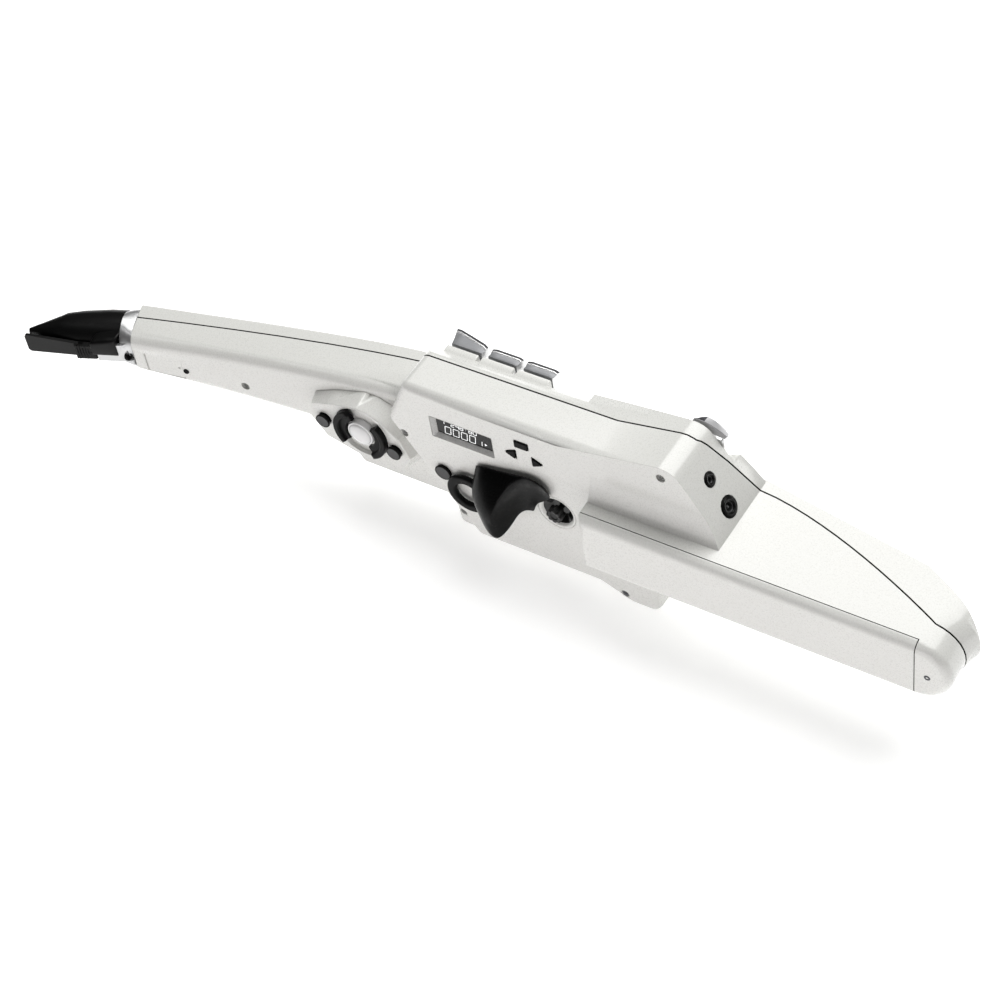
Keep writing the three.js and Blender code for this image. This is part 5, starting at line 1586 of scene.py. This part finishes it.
@dataclass
class WellScrew:
    """A case screw deep in its well: a domed head with a cross recess.

    Its rings are (share of the radius, share of the height, whether the recess cuts them).
    """

    name: str
    place: Point
    radius: float = 2.35
    finish: Finish = WELL_GREY
    height: float = 0.75
    arm: float = 1.35
    groove: float = 0.45
    recess: float = 0.55
    steps: int = 48
    rings: tuple[tuple[float, float, bool], ...] = (
        (1.0, 0.0, False), (1.0, 0.35, False), (0.93, 0.6, False), (0.8, 0.8, False), (0.62, 0.94, False),
        (0.58, 0.95, False), (0.34, 1.0, True), (0.2, 1.0, True), (0.06, 1.0, True),
    )

    def build(self) -> None:
        """Make the screw's head on the well's floor."""
        centre = millimetres(*self.place)
        rows = []
        for out, up, cut in self.rings:
            row = []
            for k in range(self.steps):
                turn = math.tau * (k + 0.5) / self.steps
                reach = out * self.radius
                across = min(abs(math.sin(turn)), abs(math.cos(turn))) * reach
                sunk = self.recess if cut and across < self.groove and reach < self.arm else 0.0
                along = up * self.height - sunk
                row.append(centre + millimetres(reach * math.cos(turn), -along, reach * math.sin(turn)))
            rows.append(row)
        form = capped(rows)
        Piece(self.name, (self.finish,), "steel", "rear_housing", Edges.CRISP, adds=True).make(form)


@dataclass
class MouthpieceHeel:
    """The black pad under the mouthpiece, between the body and the silver tongue.

    Its stations are (X, lowest Y, left Z, right Z).
    """

    stations: tuple[tuple[float, float, float, float], ...] = (
        (-238.6, -31.0, 59.9, 71.6), (-238.0, -31.4, 59.6, 72.0), (-236.0, -30.7, 59.6, 72.4),
        (-230.0, -28.4, 59.6, 73.2), (-224.9, -26.4, 59.6, 74.0), (-224.3, -26.0, 59.9, 73.6),
    )
    roof: float = -14.0
    squareness: float = 0.4
    steps: int = 24

    def build(self) -> None:
        """Make the pad."""
        rows = []
        for x, low, left, right in self.stations:
            row = []
            for k in range(self.steps + 1):
                turn = math.pi * k / self.steps
                round_cos = math.copysign(abs(math.cos(turn)) ** self.squareness, math.cos(turn))
                side = round_cos * (right - left) / 2
                drop = (low - self.roof) * abs(math.sin(turn)) ** self.squareness
                row.append(millimetres(x, self.roof + drop, (left + right) / 2 + side))
            rows.append(row)
        form = capped(rows)
        Piece("mouthpiece_heel", (MOUTH_BLACK,), "matt_black", "mouthpiece_body").make(form)


@dataclass
class NeckParts:
    """The small turned parts on the neck: the ring's screw, the door's hinge and its catch."""

    screw_place: Point = (-217.2, -25.0, 63.5)
    screw_axis: Point = (-0.1, 0.7, -0.7)
    catch_place: Point = (-183.2, -18.0, 59.2)
    catch_axis: Point = (-0.17, 0.98, 0)
    catch_side: Point = (0.98, 0.17, 0)
    hinge_offset: tuple[float, float] = (0.55, 0.35)
    hinge_end: float = 0.5

    def build(self) -> None:
        """Make the three parts."""
        self.ring_screw()
        self.door_hinge()
        self.door_catch()

    def ring_screw(self) -> None:
        """Make the screw in the neck ring."""
        inward = Vector(self.screw_axis).normalized()
        side = inward.cross(X_AXIS).normalized()
        profile = [
            (0, 0.9), (1.35, 0.8), (1.5, -0.1), (2.1, -0.35), (2.5, -0.2), (2.6, 0.3), (2.6, 3.0), (0, 3.0),
        ]
        form = turned(profile, millimetres(*self.screw_place), steps=40, axis=inward, side=side)
        Piece("ring_screw", (GLOSS_BLACK,), "matt_black", "neck_ring", Edges.CRISP).make(form)

    def door_hinge(self) -> None:
        """Make the hinge's barrel along the neck door's edge at the mouthpiece."""
        low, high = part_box("neck_door")
        reach = (high.z - low.z) / MM - self.hinge_end
        profile = [(0, 0.3), (0.5, 0.3), (0.62, 0.5), (0.62, reach), (0.5, reach + 0.2), (0, reach + 0.2)]
        back, out = self.hinge_offset
        place = Vector((low.x - back * MM, low.y - out * MM, low.z))
        form = turned(profile, place, steps=24, axis=Vector((0, 0, 1)))
        Piece("door_hinge", (SHELL,), "shell_white", "rear_housing", adds=True).make(form)

    def door_catch(self) -> None:
        """Make the catch at the neck door's far edge."""
        profile = [(0, 0.2), (0.9, 0.15), (1.0, -0.1), (1.5, -0.15), (1.7, 0.1), (1.7, 1.4), (0, 1.4)]
        axis, side = Vector(self.catch_axis).normalized(), Vector(self.catch_side).normalized()
        form = turned(profile, millimetres(*self.catch_place), steps=32, axis=axis, side=side)
        Piece("door_catch", (BLACK,), "matt_black", "rear_housing", Edges.CRISP, adds=True).make(form)


@dataclass
class PearlKey:
    """A round finger key: a silver cup with a dished mother-of-pearl touch."""

    node: str
    stem: float = 2.3
    lip: float = 1.3
    lip_share: float = 0.2
    touch_gap: float = 0.03
    touch_depth: float = 1.2

    def build(self) -> None:
        """Make the key over its node's place."""
        low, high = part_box(self.node)
        centre = centre_of(self.node)
        reach, top, foot = (high.x - low.x) / 2 / MM, high.y / MM, low.y / MM
        lip = min(self.lip, reach * self.lip_share)
        profile = [
            (0, foot), (self.stem, foot), (self.stem, top - 3.4), (reach * 0.55, top - 3.2),
            (reach - 0.7, top - 2.5), (reach, top - 1.6), (reach, top - 0.55), (reach - 0.25, top - 0.2),
            (reach - lip * 0.6, top - 0.1), (reach - lip, top - 0.45), (reach - lip - 0.02, top - 0.75),
            (reach - lip - 0.35, top - 0.45), (reach * 0.5, top - 0.75), (0, top - 0.95),
        ]
        form = turned(profile, centre, steps=64)
        tint_middle(form, centre, reach - lip - self.touch_gap, (top - self.touch_depth, math.inf))
        slot = slots_of_nodes()[self.node]
        Piece(self.node + "_touch", (SILVER, PEARL), slot, self.node, Edges.CRISP).make(form)


@dataclass
class ClampRibs:
    """The ribs across the mouthpiece clamp's outer face, where it is gripped."""

    count: int = 6
    start: float = 0.2
    share: float = 0.62
    turns: range = range(-75, 80, 15)
    ray: float = 20.0
    half_width: float = 0.3
    bite: float = 0.2
    height: float = 0.3

    def build(self) -> None:
        """Make the ribs on the clamp's right side, each as bars from point to point over the clamp's skin."""
        low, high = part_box("mouthpiece_clamp")
        skin = cad_skin("mouthpiece_clamp")
        form = bmesh.new()
        for k in range(self.count):
            x = low.x + (high.x - low.x) * (self.start + self.share * k / (self.count - 1))
            found = []
            for turn in self.turns:
                aim = Vector((0, -math.cos(math.radians(turn)), math.sin(math.radians(turn))))
                start = Vector((x, (low.y + high.y) / 2, (low.z + high.z) / 2)) + aim * self.ray * MM
                hit = skin.ray_cast(start, -aim, self.ray * MM)[0]
                if hit is not None:
                    found.append((hit, aim))
            for (first, aim), (second, _) in zip(found, found[1:]):
                bar = [
                    first + Vector((side * self.half_width * MM, 0, 0)) + aim * up * MM
                    for side, up in ((-1, -self.bite), (-1, self.height), (1, self.height), (1, -self.bite))
                ]
                capped([bar, [point + (second - first) for point in bar]], form)
        Piece("clamp_ribs", (BLACK,), "matt_black", "mouthpiece_clamp", Edges.CRISP, adds=True).make(form)


@dataclass
class SocketContact:
    """A socket's bore: its metal sleeve, with a pin where the socket has one, and a bevelled ring on its face."""

    node: str
    bore: float
    ring: float
    pin: float = 0.0
    outward: Point = (0.842, 0.0, 0.54)

    def build(self) -> None:
        """Make the sleeve and the ring in the node's outer face."""
        outward = Vector(self.outward).normalized()
        farthest = max(vert.co.dot(outward) for vert in frame["nodes"][self.node].data.vertices)
        low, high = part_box(self.node)
        middle = (low + high) / 2
        centre = middle + outward * (farthest - middle.dot(outward))
        side = outward.cross(Y_AXIS).normalized()
        bore, ring = self.bore, self.ring
        sleeve = turned(
            [(bore, 0.6), (bore, 5.6), (0, 5.6), (0, 5.3), (bore - 0.3, 5.3), (bore - 0.3, 0.7), (bore, 0.6)],
            centre, steps=48, axis=-outward, side=side,
        )
        if self.pin:
            pin = [(0, 1.2), (self.pin * 0.6, 1.3), (self.pin, 1.8), (self.pin, 5.4), (0, 5.4)]
            turned(pin, centre, steps=24, axis=-outward, side=side, form=sleeve)
        Piece(self.node + "_sleeve", (SCREW_GREY,), "steel", self.node, Edges.CRISP, adds=True).make(sleeve)
        lip = turned(
            [
                (bore + 0.1, 0.25), (bore + 0.25, -0.05), (bore + 0.6, -0.12), (ring - 0.5, -0.2),
                (ring - 0.2, -0.12), (ring, 0.25), (bore + 0.1, 0.25),
            ],
            centre, steps=64, axis=-outward, side=side,
        )
        Piece(self.node + "_lip", (GLOSS_BLACK,), "matt_black", self.node, Edges.CRISP, adds=True).make(lip)


ROUND_KEYS = ("b_key", "a_key", "g_key", "f_key", "e_key", "d_key", "front_f_key", "bis_key")

DETAILS = (
    PressButton("power_button", radius=4.9, top=-17.9, neck=4.4, seat=-16.9),
    PressButton("thumb_button_1", radius=4.4, top=-16.6, neck=3.6, seat=-15.4),
    PressButton("thumb_button_2", radius=4.4, top=-16.6, neck=3.6, seat=-15.4),
    OctaveKey("octave_up_key"),
    OctaveKey("octave_down_key"),
    ThumbDome(),
    MouthpieceHeel(),
    ClampRibs(),
    NeckParts(),
    WellScrew("neck_screw", (-147.2, -10.43, 57.8)),
    WellScrew("block_screw", (-37.4, -14.39, 74.0)),
    WellScrew("ledge_screw", (88.6, -14.39, 9.0), finish=GREY),
    WellScrew("bulge_screw", (118.0, -14.39, 112.0)),
    WellScrew("panel_screw", (-8.4, -14.6, 25.5)),
    WellScrew("tail_screw", (265.4, -32.8, 60.1), radius=1.7, finish=GREY),
    *(PearlKey(node) for node in ROUND_KEYS),
    SocketContact("phones_socket", bore=1.85, ring=3.1),
    SocketContact("power_inlet", bore=2.75, ring=4.6, pin=1.0),
    SideKey("side_b_flat_key", start=(-28.0, -29.8), end=(-9.9, -9.4), rise=5.2),
    SideKey("side_c_key", start=(-5.6, -6.4), end=(11.2, 12.2)),
    SideKey("high_e_key", start=(15.6, 14.8), end=(32.6, 33.4)),
    CornerKey(),
    ThumbHook(),
    StrapRing(),
    VolumeDial(),
    DisplayPanel(),
)

DETAILED_NODES = {
    "thumb_hook", "strap_ring", "volume_dish", "volume_knob", "display_window", "side_b_flat_key", "side_c_key",
    "high_e_key", "e_flat_key", "power_button", "thumb_button_1", "thumb_button_2", "octave_up_key",
    "octave_down_key", "thumb_rest", *ROUND_KEYS,
}

CARRIED_SHAPES = {
    "rear_housing": SeamedShape,
    "front_housing": FrontShell,
    "battery_lid": SeamedShape,
    "low_c_key": LowTouch,
}


def slots_of_nodes() -> dict[str, str]:
    """Return the record's material slot of each CAD node."""
    return {part["node"]: part["material_slot"] for part in frame["record"]["subparts"]}


def dress_nodes() -> None:
    """Give every CAD node the finish of its slot."""
    slots = slots_of_nodes()
    for node, piece in frame["nodes"].items():
        piece.data.materials.clear()
        piece.data.materials.append(FINISHES[slots[node]].build())


def main() -> None:
    """Build the scene: the camera and the studio, the detailed pieces, then the other nodes' shapes."""
    logging.basicConfig(level=logging.INFO, format="%(message)s")
    PhotoCamera().build()
    Studio().build()
    dress_nodes()
    for detail in DETAILS:
        detail.build()
    slots = slots_of_nodes()
    for node in frame["nodes"]:
        if node not in DETAILED_NODES:
            CARRIED_SHAPES.get(node, CarriedShape)(node, slots[node]).build()
    bpy.context.view_layer.update()


if __name__ == "__main__":
    main()
